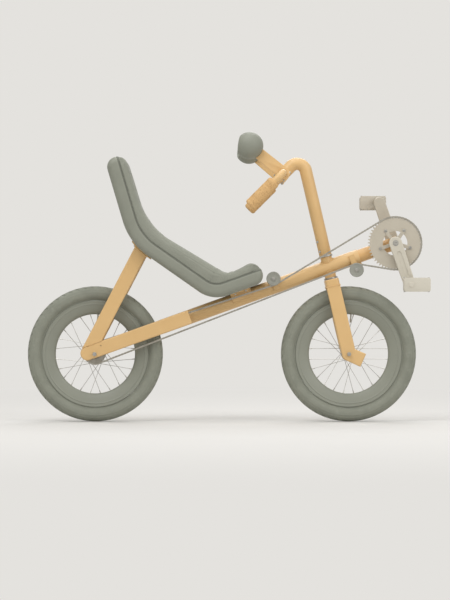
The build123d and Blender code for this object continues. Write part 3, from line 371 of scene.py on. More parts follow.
def world_mesh(node):
    """Copy of a frame node's mesh in world space, its split corners joined."""
    source = frame["nodes"][node]
    mesh = source.data.copy()
    mesh.transform(source.matrix_world)
    reworked(mesh, 0.01 * MM, radians(0.6)).shade_smooth()
    return mesh


def modified(mesh, name, kind, **settings):
    """Mesh that a modifier makes of another."""
    holder = linked(name, mesh)
    modifier = holder.modifiers.new(kind.title(), kind)
    for key, value in settings.items():
        setattr(modifier, key, value)
    result = bpy.data.meshes.new_from_object(holder.evaluated_get(bpy.context.evaluated_depsgraph_get()))
    bpy.data.objects.remove(holder)
    return result


def softened(node, body, width, cutters=()):
    """A frame node with openings cut in it and its sharp edges rounded, as such a piece is finished."""
    mesh = world_mesh(node)
    for cutter in cutters:
        tool = linked(f"{node}_cutter", cutter.mesh(f"{node}_cutter"))
        mesh = modified(mesh, f"{node}_cut", "BOOLEAN", operation="DIFFERENCE", solver="EXACT", object=tool)
        bpy.data.objects.remove(tool)
    mesh = modified(
        mesh, f"{node}_edges", "BEVEL", width=width, segments=2, limit_method="ANGLE",
        angle_limit=radians(28), harden_normals=True, use_clamp_overlap=True,
    )
    finish(linked(f"{node}_finished", mesh), SLOT[node], body, [node])


WASHER = 1.0


def in_mm(pairs):
    """Pairs of lengths given in mm, in metres."""
    return [(first * MM, second * MM) for first, second in pairs]


def both_halves(half):
    """Closed profile of (radius, height) pairs from its upper half."""
    return half + [(radius, -height) for radius, height in reversed(half)]


class Form:
    """A mesh that grows from loops of points and is then saved as one piece."""

    def __init__(self):
        self.verts = []
        self.faces = []

    def rows(self, rows, wrap_rows=False, wrap_points=True, caps=False):
        """Skins rows of equally many points."""
        base = len(self.verts)
        count = len(rows[0])
        for row in rows:
            self.verts.extend(row)
        for i in range(len(rows) if wrap_rows else len(rows) - 1):
            near = base + i * count
            far = base + (i + 1) % len(rows) * count
            for j in range(count if wrap_points else count - 1):
                k = (j + 1) % count
                self.faces.append((near + j, near + k, far + k, far + j))
        if caps:
            self.faces.append(tuple(base + j for j in reversed(range(count))))
            self.faces.append(tuple(base + (len(rows) - 1) * count + j for j in range(count)))
        return self

    def lathe(self, centre, axis, profile, steps=32, closed=False):
        """Turns a profile of (radius, height along the axis) about a line."""
        axis = axis.normalized()
        across = Vector((1, 0, 0)) if abs(axis.y) > 0.9 else axis.orthogonal().normalized()
        beside = axis.cross(across)
        turns = [TAU * step / steps for step in range(steps)]
        return self.rows([
            [centre + axis * height + (across * cos(turn) + beside * sin(turn)) * radius for turn in turns]
            for radius, height in profile
        ], wrap_rows=closed)

    def rod(self, start, end, radius, steps=8, tip=None):
        """Closed round rod, or a cone if tip gives its end radius."""
        length = (end - start).length
        tip = radius if tip is None else tip
        return self.lathe(start, end - start, [(0, 0), (radius, 0), (tip, length), (0, length)], steps)

    def bolt(self, seat, out, radius, height, socket=2.5):
        """Socket head with a softened rim, standing on a washer, its sizes in mm."""
        ease, brim, mouth = 0.5, radius * 1.45, socket * 1.15
        top, floor = WASHER + height, WASHER + height * 0.4
        head = [(radius, WASHER), (radius, top - ease), (radius - ease, top), (mouth, top)]
        self.lathe(seat, out, in_mm([(0, 0), (brim, 0), (brim, WASHER), (radius, WASHER)]), 24)
        self.lathe(seat, out, in_mm(head), 24)
        return self.lathe(seat, out, in_mm([(mouth, top), (mouth, floor), (0, floor)]), 6)

    def hex_nut(self, seat, out, flats, height):
        """Hexagon nut with chamfered corners on a washer, its sizes in mm."""
        reach, chamfer = flats / sqrt(3), 1.0
        brim, top = reach * 1.25, WASHER + height
        nut = [(reach, WASHER), (reach, top - chamfer), (reach * 0.88, top), (0, top)]
        self.lathe(seat, out, in_mm([(0, 0), (brim, 0), (brim, WASHER), (0, WASHER)]), 24)
        return self.lathe(seat, out, in_mm(nut), 6)

    def through(self, centre, half, bolt, nut):
        """Bolt through a clamp, its head at one end of the half length and its nut at the other."""
        self.bolt(centre + half, half, *bolt)
        return self.hex_nut(centre - half, -half, *nut)

    def bead(self, path, radius, ripple=0.0, sides=8, closed=True):
        """Round cord along a path; a ripple makes it a weld bead like stacked coins."""
        rows = []
        run = 0.0
        side_way = None
        for index, point in enumerate(path):
            ahead = path[(index + 1) % len(path)] if closed else path[min(index + 1, len(path) - 1)]
            behind = path[index - 1] if closed else path[max(index - 1, 0)]
            along = (ahead - behind).normalized()
            run += (point - path[index - 1]).length if index else 0.0
            swell = radius * (1 + ripple * sin(TAU * run / BEAD_PITCH))
            if side_way is None:
                side_way = along.orthogonal().normalized()
            side_way = (side_way - along * side_way.dot(along)).normalized()
            up_way = along.cross(side_way)
            turns = [TAU * step / sides for step in range(sides)]
            rows.append([point + (side_way * cos(turn) + up_way * sin(turn)) * swell for turn in turns])
        return self.rows(rows, wrap_rows=closed, caps=not closed)

    def weld(self, path, share=1.0, closed=True):
        """Weld bead along a path."""
        return self.bead(path, BEAD_R * share, BEAD_RIPPLE, closed=closed)

    def mesh(self, name):
        made = bpy.data.meshes.new(name)
        made.from_pydata(self.verts, [], self.faces)
        return reworked(made, 1e-6)

    def save(self, name, slot, body, stands_for=(), sharp=38, look=None):
        """Makes the piece, with its material, body and the nodes it stands for."""
        mesh = self.mesh(name)
        mesh.shade_smooth()
        mesh.set_sharp_from_angle(angle=radians(sharp))
        finish(linked(name, mesh), slot, body, stands_for, look)


# Wheels
TYRE_R = 270 * MM
TYRE_HALF = 32 * MM
TYRE_MID_R = 240 * MM
RIM_OUTER_R = 212 * MM
RIM_INNER_R = 158 * MM
BEAD_HALF = 17.6 * MM
BEAD_GAP = 0.4 * MM
TREAD_DEPTH = 2.4 * MM
TREAD_PITCHES = 56
TREAD_SLANT = 0.9
SLANT_HALF = 22 * MM
WALL_RIB = 0.5 * MM
SPOKES = 24
SPOKE_R = 1.05 * MM
SPOKE_CROSS = 2
NIPPLE = 13 * MM
FLANGE_Y = 32 * MM
FLANGE_WALL = 4 * MM
HUB_BORE_R = 5.6 * MM
PLAIN, SLANTED, ROUND, RIB = range(4)


def tyre_section():
    """Rows of the tyre's half section from the crown: half width, radius and what is in the rubber there."""
    half = []
    # degrees from the crown, form
    for degree, form in (
        (0, PLAIN), (3.6, PLAIN), (4.4, ROUND), (8.0, ROUND), (8.8, SLANTED), (15, SLANTED), (22, SLANTED),
        (29, SLANTED), (36, SLANTED), (42, SLANTED), (43.5, PLAIN), (49, PLAIN), (55, PLAIN), (60, PLAIN),
        (61, RIB), (63, RIB), (64, PLAIN), (71, PLAIN), (79, PLAIN), (80, RIB), (82, RIB), (83, PLAIN), (90, PLAIN),
    ):
        angle = radians(degree)
        half.append((TYRE_HALF * sin(angle), TYRE_MID_R + (TYRE_R - TYRE_MID_R) * cos(angle), form))
    bead_drop = TYRE_MID_R - RIM_OUTER_R - BEAD_GAP
    for degree in (12, 24, 36, 47, 56):
        angle = radians(degree)
        half.append((TYRE_HALF * cos(angle), TYRE_MID_R - bead_drop * sin(angle), PLAIN))
    half.append((BEAD_HALF, TYRE_MID_R - bead_drop, PLAIN))
    return half


def tyre(name, axle, body):
    """Balloon tyre with a grooved tread and ribs on its walls."""
    half = tyre_section()
    # phase of the pitch, whether a slanted groove is open there
    phases = ((0.0, 0), (0.03, 1), (0.2, 1), (0.23, 0), (0.48, 0), (0.74, 0))
    columns = [
        (TAU * (pitch + phase) / TREAD_PITCHES, low) for pitch in range(TREAD_PITCHES) for phase, low in phases
    ]
    rows = []
    for y, radius, form in [(-y, r, form) for y, r, form in reversed(half)] + half[1:]:
        slant = TREAD_SLANT * min(abs(y), SLANT_HALF) / TYRE_R
        if form == RIB:
            radius += WALL_RIB
            y = max(-TYRE_HALF, min(TYRE_HALF, y + (WALL_RIB if y > 0 else -WALL_RIB)))
        ring = []
        for angle, low in columns:
            reach = radius - (TREAD_DEPTH if form == ROUND or (form == SLANTED and low) else 0.0)
            ring.append(axle + Vector((reach * sin(angle + slant), y, reach * cos(angle + slant))))
        rows.append(ring)
    Form().rows(rows, wrap_rows=True).save(f"{name}_tyre_tread", "tyre_rubber", body, [f"{name}_tyre"], 30)


# Upper half of the rim's profile, radius and half width in mm: spoke bed, brake track and hooked edge
RIM_PROFILE = (
    (158.0, 0.0), (158.3, 3.0), (159.6, 5.8), (163, 8.6), (169, 11.4), (177, 14.4), (186, 17.2),
    (194, 19.3), (197, 20.1), (197.8, 20.9), (199.2, 20.9), (199.8, 20.4), (208.2, 20.4), (209, 20.9),
    (211, 20.9), (212.0, 20.0), (212.0, 18.6), (210.8, 17.6), (204, 17.0),
)


def rim(name, axle, body):
    """Deep rim, with a tyre valve on its spoke bed."""
    form = Form().lathe(axle, LEFT, both_halves(in_mm(RIM_PROFILE)), 200, closed=True)
    form.save(f"{name}_deep_rim", "rim_paint", body, [f"{name}_rim"])
    angle = TAU * 0.25 / SPOKES
    out = Vector((sin(angle), 0, cos(angle)))
    foot = axle + out * (RIM_INNER_R + 1 * MM)
    valve = Form()
    # start, end, radius and end radius of each part of the valve, in mm
    for start, end, radius, tip in ((0, 3, 5, 5), (0, 22, 3, 3), (20, 34, 4, 3.4)):
        valve.rod(foot - out * start * MM, foot - out * end * MM, radius * MM, 20, tip * MM)
    valve.save(f"{name}_valve", "hub_alloy", body)


def hub(name, axle, body, barrel, flange, ends):
    """Turned hub with two flanges and laced round spokes in nipples."""
    neck = barrel * 0.6
    half = [
        (barrel * 0.94, 0.0), (barrel * 0.95, FLANGE_Y - 16 * MM), (barrel, FLANGE_Y - 9 * MM),
        (barrel * 1.06, FLANGE_Y - 6 * MM), (flange - 1.2 * MM, FLANGE_Y - FLANGE_WALL),
        (flange, FLANGE_Y - FLANGE_WALL + MM), (flange, FLANGE_Y - MM), (flange - MM, FLANGE_Y),
        (barrel * 0.95, FLANGE_Y), (barrel * 0.82, FLANGE_Y + 1.5 * MM),
        (neck + 2 * MM, FLANGE_Y + 3 * MM), (neck, FLANGE_Y + 5 * MM),
    ]
    form = Form()
    for way, end in zip((1, -1), ends):
        cap = [
            (neck, end - 3 * MM), (neck - 1 * MM, end - 1 * MM), (neck - 3 * MM, end), (HUB_BORE_R, end),
            (HUB_BORE_R, end - 6 * MM),
        ]
        form.lathe(axle, LEFT * way, half + cap, 72)
    form.save(f"{name}_hub_shell", "hub_alloy", body, [f"{name}_hub"])

    spokes = Form()
    hub_r, bed = flange - 3.5 * MM, RIM_INNER_R + 1.0 * MM
    for index in range(SPOKES):
        way = 1 if index % 2 else -1
        lean = 1 if index % 4 < 2 else -1
        rim_angle = TAU * (index + 0.5) / SPOKES
        hub_angle = rim_angle + lean * SPOKE_CROSS * TAU / (SPOKES / 2)
        start = axle + Vector((hub_r * cos(hub_angle), way * (FLANGE_Y - FLANGE_WALL / 2), hub_r * sin(hub_angle)))
        end = axle + Vector((bed * cos(rim_angle), way * 2.6 * MM, bed * sin(rim_angle)))
        out = LEFT * way
        spokes.rod(start + out * lean * 2.2 * MM, end, SPOKE_R)
        spokes.rod(start - out * 3.0 * MM, start + out * 3.4 * MM, SPOKE_R * 1.7)
        spokes.rod(end - (end - start).normalized() * NIPPLE, end, 1.7 * MM, tip=2.1 * MM)
    spokes.save(f"{name}_spokes", "bearing_steel", body)


def wheels():
    # name, axle, hub barrel radius, flange radius, left and right end
    for name, axle, barrel, flange, ends in (
        ("front", FRONT_AXLE, 16 * MM, 27 * MM, (38 * MM, 38 * MM)),
        ("rear", REAR_AXLE, 30 * MM, 40 * MM, (42 * MM, 49 * MM)),
    ):
        body = f"{name}_wheel"
        tyre(name, axle, body)
        rim(name, axle, body)
        hub(name, axle, body, barrel, flange, ends)


# Chain
PITCH = 12.7 * MM
CHAIN_MIDDLE = LEFT * -47 * MM
RING_TEETH, SPROCKET_TEETH, IDLER_TEETH = 52, 20, 12
PLATE_HALF = 4.1 * MM
PLATE_WAIST = 2.9 * MM
PLATE_THICK = 0.9 * MM
PLATE_INNER = (2.5 * MM, 1.45 * MM)
PLATE_OPEN = radians(28)


def middle(node):
    low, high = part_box(node)
    return (Vector(low) + Vector(high)) / 2


def chain_pins():
    """Pin places round the closed run, evenly spaced along its straights and arcs."""
    # centre in the side view as a complex number, pitch radius, negative where the run turns the other way
    discs = []
    for centre, teeth, sense in (
        (BB, RING_TEETH, 1), (middle("power_idler"), IDLER_TEETH, -1),
        (REAR_AXLE, SPROCKET_TEETH, 1), (middle("return_idler"), IDLER_TEETH, -1),
    ):
        offset = centre - BB
        discs.append((complex(offset.dot(TUBE_BACK), offset.dot(TUBE_UP)), sense * PITCH / (2 * sin(pi / teeth))))
    later = discs[1:] + discs[:1]
    straights = []
    for (near, near_r), (far, far_r) in zip(discs, later):
        out = rect(1, phase(far - near) + acos((near_r - far_r) / abs(far - near)))
        straights.append((near + near_r * out, far + far_r * out))
    # length, origin, reach from it and, for an arc, the angle that the reach turns
    spans = []
    for (start, end), (next_start, _), (centre, radius) in zip(straights, straights[1:] + straights[:1], later):
        sweep = (phase(next_start - centre) - phase(end - centre)) % TAU - (TAU if radius > 0 else 0)
        spans += [(abs(end - start), start, end - start, None), (abs(radius * sweep), centre, end - centre, sweep)]
    total = sum(span[0] for span in spans)
    links = 2 * round(total / PITCH / 2)
    pins = []
    for index in range(links):
        left = total * index / links
        for length, origin, reach, sweep in spans:
            if left <= length:
                spot = origin + reach * (left / length if sweep is None else rect(1, sweep * left / length))
                pins.append(on_tube(spot.real, spot.imag))
                break
            left -= length
    return pins


def chain():
    """Roller chain: inner and outer link plates in turn, with rollers and pins."""
    pins = chain_pins()
    form = Form()
    for index, (pin, ahead) in enumerate(zip(pins, pins[1:] + pins[:1])):
        along = (ahead - pin).normalized()
        up = Vector((-along.z, 0, along.x))
        outline = []
        for centre, side in ((pin, 1), (ahead, -1)):
            for step in range(6):
                angle = side * pi / 2 + PLATE_OPEN + (pi - 2 * PLATE_OPEN) * step / 5
                outline.append(centre + (along * cos(angle) + up * sin(angle)) * PLATE_HALF)
            outline.append((pin + ahead) / 2 - up * side * PLATE_WAIST)
        for way in (1, -1):
            near = CHAIN_MIDDLE + LEFT * way * PLATE_INNER[index % 2]
            far = near + LEFT * way * PLATE_THICK
            form.rows([[point + near for point in outline], [point + far for point in outline]], caps=True)
        centre = pin + CHAIN_MIDDLE
        form.rod(centre - LEFT * 3.9 * MM, centre + LEFT * 3.9 * MM, 1.8 * MM)
        form.lathe(centre, LEFT, in_mm([(3.8, -1.4), (3.8, 1.4)]), 12)
    form.save("chain_links", "chain_steel", "frame", ["chain"], 30)


# Grips, on the bar's two ends
BAR_SLOPE = radians(45)
BAR_WAY = Vector((-cos(BAR_SLOPE), 0, -sin(BAR_SLOPE)))
BAR_RISE = BAR_WAY.cross(LEFT)
BAR_CENTRE = on_steering(816 * MM) + BAR_WAY * 114 * MM
BAR_HALF_SPAN = 270 * MM
GRIP_END = 186 * MM
GRIP_ACROSS = LEFT * 18 * MM
GRIP_RISE = BAR_RISE * 25 * MM


def grips():
    """Oval grips with rounded ends and two bands of rings."""
    # run from the end in mm, share of the full size
    stations = [
        (0.0, 0.62), (1.2, 0.78), (3.2, 0.9), (6.5, 0.975), (10, 1.0), (52, 0.985), (68, 0.975), (84, 0.985),
        (96, 1.0), (127, 1.0), (132, 0.97), (135.6, 0.9), (137.4, 0.8), (138, 0.62),
    ]
    for first in (15, 20, 25, 30, 35, 99, 104, 109, 114):
        stations += [(first, 1.0), (first + 1, 0.955), (first + 2.6, 0.955), (first + 3.6, 1.0)]
    turns = [TAU * step / 56 for step in range(56)]
    for name, way in SIDES:
        end = BAR_CENTRE + BAR_WAY * GRIP_END + LEFT * way * BAR_HALF_SPAN
        form = Form().rows([
            [end - BAR_WAY * run * MM + (GRIP_ACROSS * cos(turn) + GRIP_RISE * sin(turn)) * share for turn in turns]
            for run, share in sorted(stations)
        ], caps=True)
        form.save(f"cork_grip_{name}", "grip_cork", "steering", [f"grip_{name}"], 50)


# Mirrors
MIRROR_R = 54 * MM
MIRROR_CUT = 32 * MM
HOOD_CUT = 40 * MM
MIRROR_Y = 196 * MM
MIRROR_ARM = 170 * MM
MIRROR_TOE_IN = radians(10)
MIRROR_TILT = radians(8)
ARM_SLOPE = radians(39.5)
ARM_WAY = Vector((-cos(ARM_SLOPE), 0, sin(ARM_SLOPE)))
ARM_RISE = ARM_WAY.cross(LEFT)


def arm_clamp(way, along):
    """Point along a mirror's arm from the middle of the bar, in mm."""
    return BAR_CENTRE + LEFT * way * MIRROR_Y + ARM_WAY * along * MM


def mirrors():
    """Round housings with a rolled lip, and domed glass facing the rider."""
    rim_r = sqrt(MIRROR_R**2 - HOOD_CUT**2)
    lip = rim_r - 2.2 * MM
    glass_r = lip - 0.6 * MM
    opening = atan2(rim_r, HOOD_CUT)
    turns = [pi - (pi - opening) * step / 28 for step in range(29)]
    shell = [(MIRROR_R * sin(turn), MIRROR_R * cos(turn)) for turn in turns]
    shell += [
        (rim_r - 0.4 * MM, HOOD_CUT + 0.5 * MM), (rim_r - 1.4 * MM, HOOD_CUT + 0.7 * MM),
        (lip, HOOD_CUT + 0.2 * MM), (lip - 0.8 * MM, HOOD_CUT - 1.4 * MM), (lip - 0.8 * MM, MIRROR_CUT - 3 * MM),
    ]
    dome = [(glass_r * step / 8, MIRROR_CUT + 5 * MM - 6 * MM * (step / 8) ** 2) for step in range(9)]
    dome.append((glass_r, MIRROR_CUT - 3 * MM))
    for name, way in SIDES:
        centre = arm_clamp(way, MIRROR_ARM / MM)
        toe_in = Matrix.Rotation(MIRROR_TOE_IN * way, 3, "Z")
        looks = Matrix.Rotation(MIRROR_TILT, 3, "Y") @ (toe_in @ Vector((-1, 0, 0)))
        for piece, profile, slot, node in (
            ("shell", shell, "mirror_housing", "mirror"), ("dome", dome, "mirror_face", "mirror_glass"),
        ):
            form = Form().lathe(centre, looks, profile, 72)
            form.save(f"mirror_{piece}_{name}", slot, "steering", [f"{node}_{name}"])


# Seat: heights above the underside of the shell, runs from the top of the back to the nose
SHELL_HALF = 150 * MM
SHELL_WALL = 8 * MM
SHELL_LIFT = TUBE_R + 0.3 * MM
END_ROUND = 40 * MM
SIDE_ROUND = 24 * MM
RIM_EASE = 1.5 * MM
PAD_HALF = 141.7 * MM
TRAY_DEPTH = 50 * MM
SEAM_Y = 94 * MM
SEAM_END = 64 * MM
SEAM_REACH = 4 * MM
SEAM_SINK = 1.6 * MM
CHANNELS = 12
ROLL_EDGE = 0.5 * MM
ROLL_CORNER = 24 * MM
ROLL_FROM = 104 * MM
ROLL_SIDE = 24 * MM
TOP_STEP = 4 * MM
NOSE_BACK = (BB.x - 104.4 * MM - SHELL_LIFT * sin(TUBE_ANGLE)) / cos(TUBE_ANGLE)
# Pieces of each straight of a loop round the seat, by the corner point that it starts from
STRAIGHT_PIECES = {6: 160, 13: 48, 20: 160, 27: 48}
# Cloth: how far the cover is drawn in first, what stays held, and how far it may swell at the sides and elsewhere
COVER_SLACK = 2.5 * MM
HELD_BELOW = 54 * MM
CLOTH_PRESSURE = 4.0
CLOTH_FRAMES = 20
SWELL_SIDE_FROM = 128 * MM
SWELL_SIDE, SWELL = 6 * MM, 9 * MM


def clamp(value, low=0.0, high=1.0):
    return min(max(value, low), high)


class Path:
    """A side view path with rounded corners, known by the run along it and the height above it."""

    def __init__(self, corners, radii=(), spacing=3 * MM):
        points = [corners[0]] if radii else list(corners[:-1])
        for before, corner, after, radius in zip(corners, corners[1:], corners[2:], radii):
            way_in, way_out = (corner - before).normalized(), (after - corner).normalized()
            turn = way_in.angle(way_out)
            start = corner - way_in * radius * tan(turn / 2)
            centre = corner + (way_out - way_in).normalized() * radius / cos(turn / 2)
            sense = 1 if way_in.cross(way_out).y > 0 else -1
            steps = max(6, round(radius * turn / spacing))
            for step in range(steps + 1):
                points.append(centre + Matrix.Rotation(sense * turn * step / steps, 3, "Y") @ (start - centre))
        points.append(corners[-1])
        self.points, self.runs, self.length = [], [], 0.0
        for start, end in zip(points, points[1:]):
            reach = (end - start).length
            pieces = max(1, round(reach / spacing))
            for step in range(pieces):
                self.points.append(start.lerp(end, step / pieces))
                self.runs.append(self.length + reach * step / pieces)
            self.length += reach
        self.tree = kdtree.KDTree(len(self.points))
        for index, point in enumerate(self.points):
            self.tree.insert(point, index)
        self.tree.balance()

    def ways(self, index):
        """Direction along the path and the way up from it, to the rider, at one of its points."""
        last = len(self.points) - 1
        along = (self.points[min(index + 1, last)] - self.points[max(index - 1, 0)]).normalized()
        return along, Vector((-along.z, 0, along.x))

    def nearest(self, point):
        """Index of the path's point nearest to a point in the side view."""
        return self.tree.find(Vector((point.x, 0, point.z)))[1]

    def place(self, point):
        """Run along the path and height above it of a point."""
        index = self.nearest(point)
        along, up = self.ways(index)
        offset = point - self.points[index]
        return self.runs[index] + offset.dot(along), offset.dot(up)

    def at(self, run, height, y, index=None):
        """Point at a run along the path, a height above it and a place across, as seen from one of its points."""
        if index is None:
            index = max(bisect(self.runs, run) - 1, 0)
        along, up = self.ways(index)
        return self.points[index] + along * (run - self.runs[index]) + up * height + LEFT * y


def crossing(point_a, way_a, point_b, way_b):
    """Where two lines of the side view meet, each given by a point and a direction."""
    return point_a + way_a * (point_b - point_a).cross(way_b).y / way_a.cross(way_b).y


def underside():
    """Underside of the seat shell, from the top of the back to the nose on the main tube."""
    lean, slope = radians(16.5), radians(35)
    down = Vector((sin(lean), 0, -cos(lean)))
    pan = Vector((cos(slope), 0, -sin(slope)))
    top = Vector((-476 * MM, 0, 402 * MM))
    nose = on_tube(NOSE_BACK, SHELL_LIFT)
    back_corner = crossing(top, down, Vector((-280 * MM, 0, 38 * MM)), pan)
    pan_corner = crossing(back_corner, pan, nose, -TUBE_BACK)
    return Path([top - down * 44 * MM, back_corner, pan_corner, nose - TUBE_BACK * 48 * MM], [260 * MM, 125 * MM])


def surface_tree(mesh):
    """Tree of a mesh for finding spots on its surface."""
    return BVHTree.FromPolygons([v.co.copy() for v in mesh.vertices], [tuple(p.vertices) for p in mesh.polygons])


def pad_top():
    """Sitting surface along the middle of the pad, and its heights above the shell at even runs."""
    pad = surface_tree(world_mesh("seat_pad"))
    spots, heights = [], []
    for step in range(int(SEAT.length / TOP_STEP) + 1):
        start, foot = SEAT.at(step * TOP_STEP, 135 * MM, 0), SEAT.at(step * TOP_STEP, 0, 0)
        spot = pad.ray_cast(start, foot - start)[0]
        heights.append((spot - foot).length if spot else 0.0)
        if spot:
            spots.append(spot)
    inside = round(16 * MM / TOP_STEP)
    return Path(spots), [heights[clamp(index, inside, len(heights) - 1 - inside)] for index in range(len(heights))]


SEAT = underside()
CROWN, TOPS = pad_top()
CHANNEL_PITCH = (CROWN.length - 2 * SEAM_END) / (CHANNELS - 1)


def seat_loop(half_y, height, inset, corner):
    """Closed loop round the seat at one height, its corners rounded as the rider sees them."""
    half_run = SEAT.length / 2
    flat = []
    # end of the seat, side of it
    for quarter, (end, way) in enumerate(((1, 1), (-1, 1), (-1, -1), (1, -1))):
        for step in range(7):
            angle = radians(90 * quarter + 15 * step)
            run = half_run + end * (half_run - inset - corner) + corner * cos(angle)
            flat.append((run, way * (half_y - corner) + corner * sin(angle)))
    points = []
    for index, ((run_a, y_a), (run_b, y_b)) in enumerate(zip(flat, flat[1:] + flat[:1])):
        pieces = STRAIGHT_PIECES.get(index, 1)
        for step in range(pieces):
            share = step / pieces
            points.append(SEAT.at(run_a + (run_b - run_a) * share, height, y_a + (y_b - y_a) * share))
    return points


def seat_shell():
    """Moulded shell: a tray with round lower edges, its rim and the walls inside down to the pad."""
    loops = []
    for step in range(11):
        angle = radians(9 * step)
        height, inset = END_ROUND * (1 - cos(angle)), END_ROUND * (1 - sin(angle))
        tuck = SIDE_ROUND - sqrt(SIDE_ROUND**2 - max(SIDE_ROUND - height, 0.0) ** 2)
        loops.append(seat_loop(SHELL_HALF - tuck, height, inset, SIDE_ROUND - tuck + inset * 0.2))
    for inset, height in (
        (0.0, TRAY_DEPTH - RIM_EASE), (RIM_EASE, TRAY_DEPTH), (SHELL_WALL - RIM_EASE, TRAY_DEPTH),
        (SHELL_WALL, TRAY_DEPTH - RIM_EASE), (SHELL_WALL, TRAY_DEPTH / 2),
    ):
        loops.append(seat_loop(SHELL_HALF - inset, height, inset, SIDE_ROUND - inset))
    form = Form().rows(loops)
    bottom = loops[0]
    last = next(index for index in range(len(bottom) - 1, 0, -1) if bottom[index].y < -SHELL_HALF / 2)
    form.rows([
        [bottom[index].lerp(bottom[last - index], step / 8) for step in range(9)] for index in range(last // 2 + 1)
    ], wrap_points=False)
    form.save("moulded_seat_shell", "seat_shell", "frame", ["seat_shell"], 50)


def seam_distance(run, y):
    """Distance to the nearest seam or sewn channel of the cover."""
    past_end = max(SEAM_END - run, run - (CROWN.length - SEAM_END), 0.0)
    lengthwise = sqrt((abs(y) - SEAM_Y) ** 2 + past_end**2)
    if abs(y) > SEAM_Y:
        return lengthwise
    nearest = clamp(round((run - SEAM_END) / CHANNEL_PITCH), 0, CHANNELS - 1)
    return min(lengthwise, abs(run - SEAM_END - nearest * CHANNEL_PITCH))


def rolled(inward, height, top, bend):
    """A point of the pad near an edge, laid on the round that the cover makes over that edge."""
    if inward >= bend or height <= top - bend or bend <= 0:
        return inward, height
    reach = max(sqrt((bend - inward) ** 2 + (height - top + bend) ** 2), 1e-6)
    return bend - (bend - inward) * bend / reach, top - bend + (height - top + bend) * bend / reach


def lay_over_rim(mesh):
    """Widens the pad above the tray and rolls its sides and ends down on the rim of the shell."""
    for vertex in mesh.vertices:
        (run, height), y = SEAT.place(vertex.co), vertex.co.y
        if height <= TRAY_DEPTH + 1 * MM:
            continue
        to_nose = run > SEAT.length / 2
        end_top = TOPS[-1] if to_nose else TOPS[0]
        bend = end_top - TRAY_DEPTH
        inward, height = rolled((SEAT.length - run if to_nose else run) - ROLL_EDGE, height, end_top, bend)
        spot = clamp(run / TOP_STEP, 0.0, len(TOPS) - 1.001)
        top = TOPS[int(spot)] * (1 - spot % 1) + TOPS[int(spot) + 1] * (spot % 1)
        if inward < bend:
            top = TRAY_DEPTH + sqrt(max(bend**2 - (bend - inward) ** 2, 0.0))
        corner = max(ROLL_CORNER - inward, 0.0)
        half_y = SHELL_HALF - ROLL_EDGE - ROLL_CORNER + sqrt(max(ROLL_CORNER**2 - corner**2, 0.0))
        across = abs(y)
        if across > ROLL_FROM:
            across = ROLL_FROM + (across - ROLL_FROM) * (half_y - ROLL_FROM) / (PAD_HALF - ROLL_FROM)
        aside, height = rolled(half_y - across, height, top, min(ROLL_SIDE, top - TRAY_DEPTH))
        inward += ROLL_EDGE
        run = SEAT.length - inward if to_nose else inward
        vertex.co = SEAT.at(run, height, copysign(half_y - aside, y), SEAT.nearest(vertex.co))


def swell(piece):
    """Swells the cover with a cloth simulation, its movement capped."""
    scene, vertices = bpy.context.scene, piece.data.vertices
    start = [vertex.co.copy() for vertex in vertices]
    cloth = piece.modifiers.new("Cloth", "CLOTH")
    cloth.settings.use_pressure = True
    cloth.settings.uniform_pressure_force = CLOTH_PRESSURE
    cloth.settings.effector_weights.gravity = 0.0
    cloth.settings.vertex_group_mass = "held"
    for number in range(1, CLOTH_FRAMES + 1):
        scene.frame_set(number)
    swelled = piece.evaluated_get(bpy.context.evaluated_depsgraph_get()).to_mesh()
    ends = [vertex.co.copy() for vertex in swelled.vertices]
    piece.modifiers.remove(cloth)
    scene.frame_set(1)
    for vertex, before, after in zip(vertices, start, ends):
        cap = SWELL_SIDE if abs(before.y) > SWELL_SIDE_FROM else SWELL
        step = after - before
        vertex.co = before + step * min(1.0, cap / max(step.length, 1e-6))


def seat_cushion():
    """Padded cover, swelled between its seams, then sewn down along them."""
    mesh = modified(world_mesh("seat_pad"), "pad_start", "REMESH", mode="VOXEL", voxel_size=6 * MM)
    lay_over_rim(mesh)
    mesh = modified(mesh, "pad_smooth", "SMOOTH", factor=0.5, iterations=5)
    piece = linked("seat_cushion", mesh)
    held = piece.vertex_groups.new(name="held")
    for vertex, normal in zip(mesh.vertices, [vertex.normal.copy() for vertex in mesh.vertices]):
        height, y = SEAT.place(vertex.co)[1], vertex.co.y
        vertex.co -= normal * COVER_SLACK * clamp((height - TRAY_DEPTH) / (10 * MM))
        if height < HELD_BELOW or seam_distance(CROWN.place(vertex.co)[0], y) < SEAM_REACH:
            held.add([vertex.index], 1.0, "REPLACE")
    swell(piece)
    bpy.data.objects.remove(piece)
    mesh = modified(mesh, "pad_fine", "SUBSURF", levels=1, render_levels=1)
    mesh.shade_smooth()
    # The fabric's own coordinates: run, place across, on down the sides, and height
    run_map = mesh.attributes.new("run", "FLOAT_VECTOR", "POINT")
    for vertex, normal in zip(mesh.vertices, [vertex.normal.copy() for vertex in mesh.vertices]):
        run, height, y = CROWN.place(vertex.co)[0], SEAT.place(vertex.co)[1], vertex.co.y
        across = abs(y) + clamp((abs(y) - 118 * MM) / (18 * MM)) * max(84 * MM - height, 0.0)
        run_map.data[vertex.index].vector = (run, copysign(across, y), height)
        if height > 56 * MM:
            vertex.co -= normal * SEAM_SINK * max(1 - seam_distance(run, y) / SEAM_REACH, 0.0) ** 2
    cushion = linked("seat_cushion", mesh)
    finish(cushion, "seat_fabric", "frame", ["seat_pad"])
    return surface_tree(mesh)


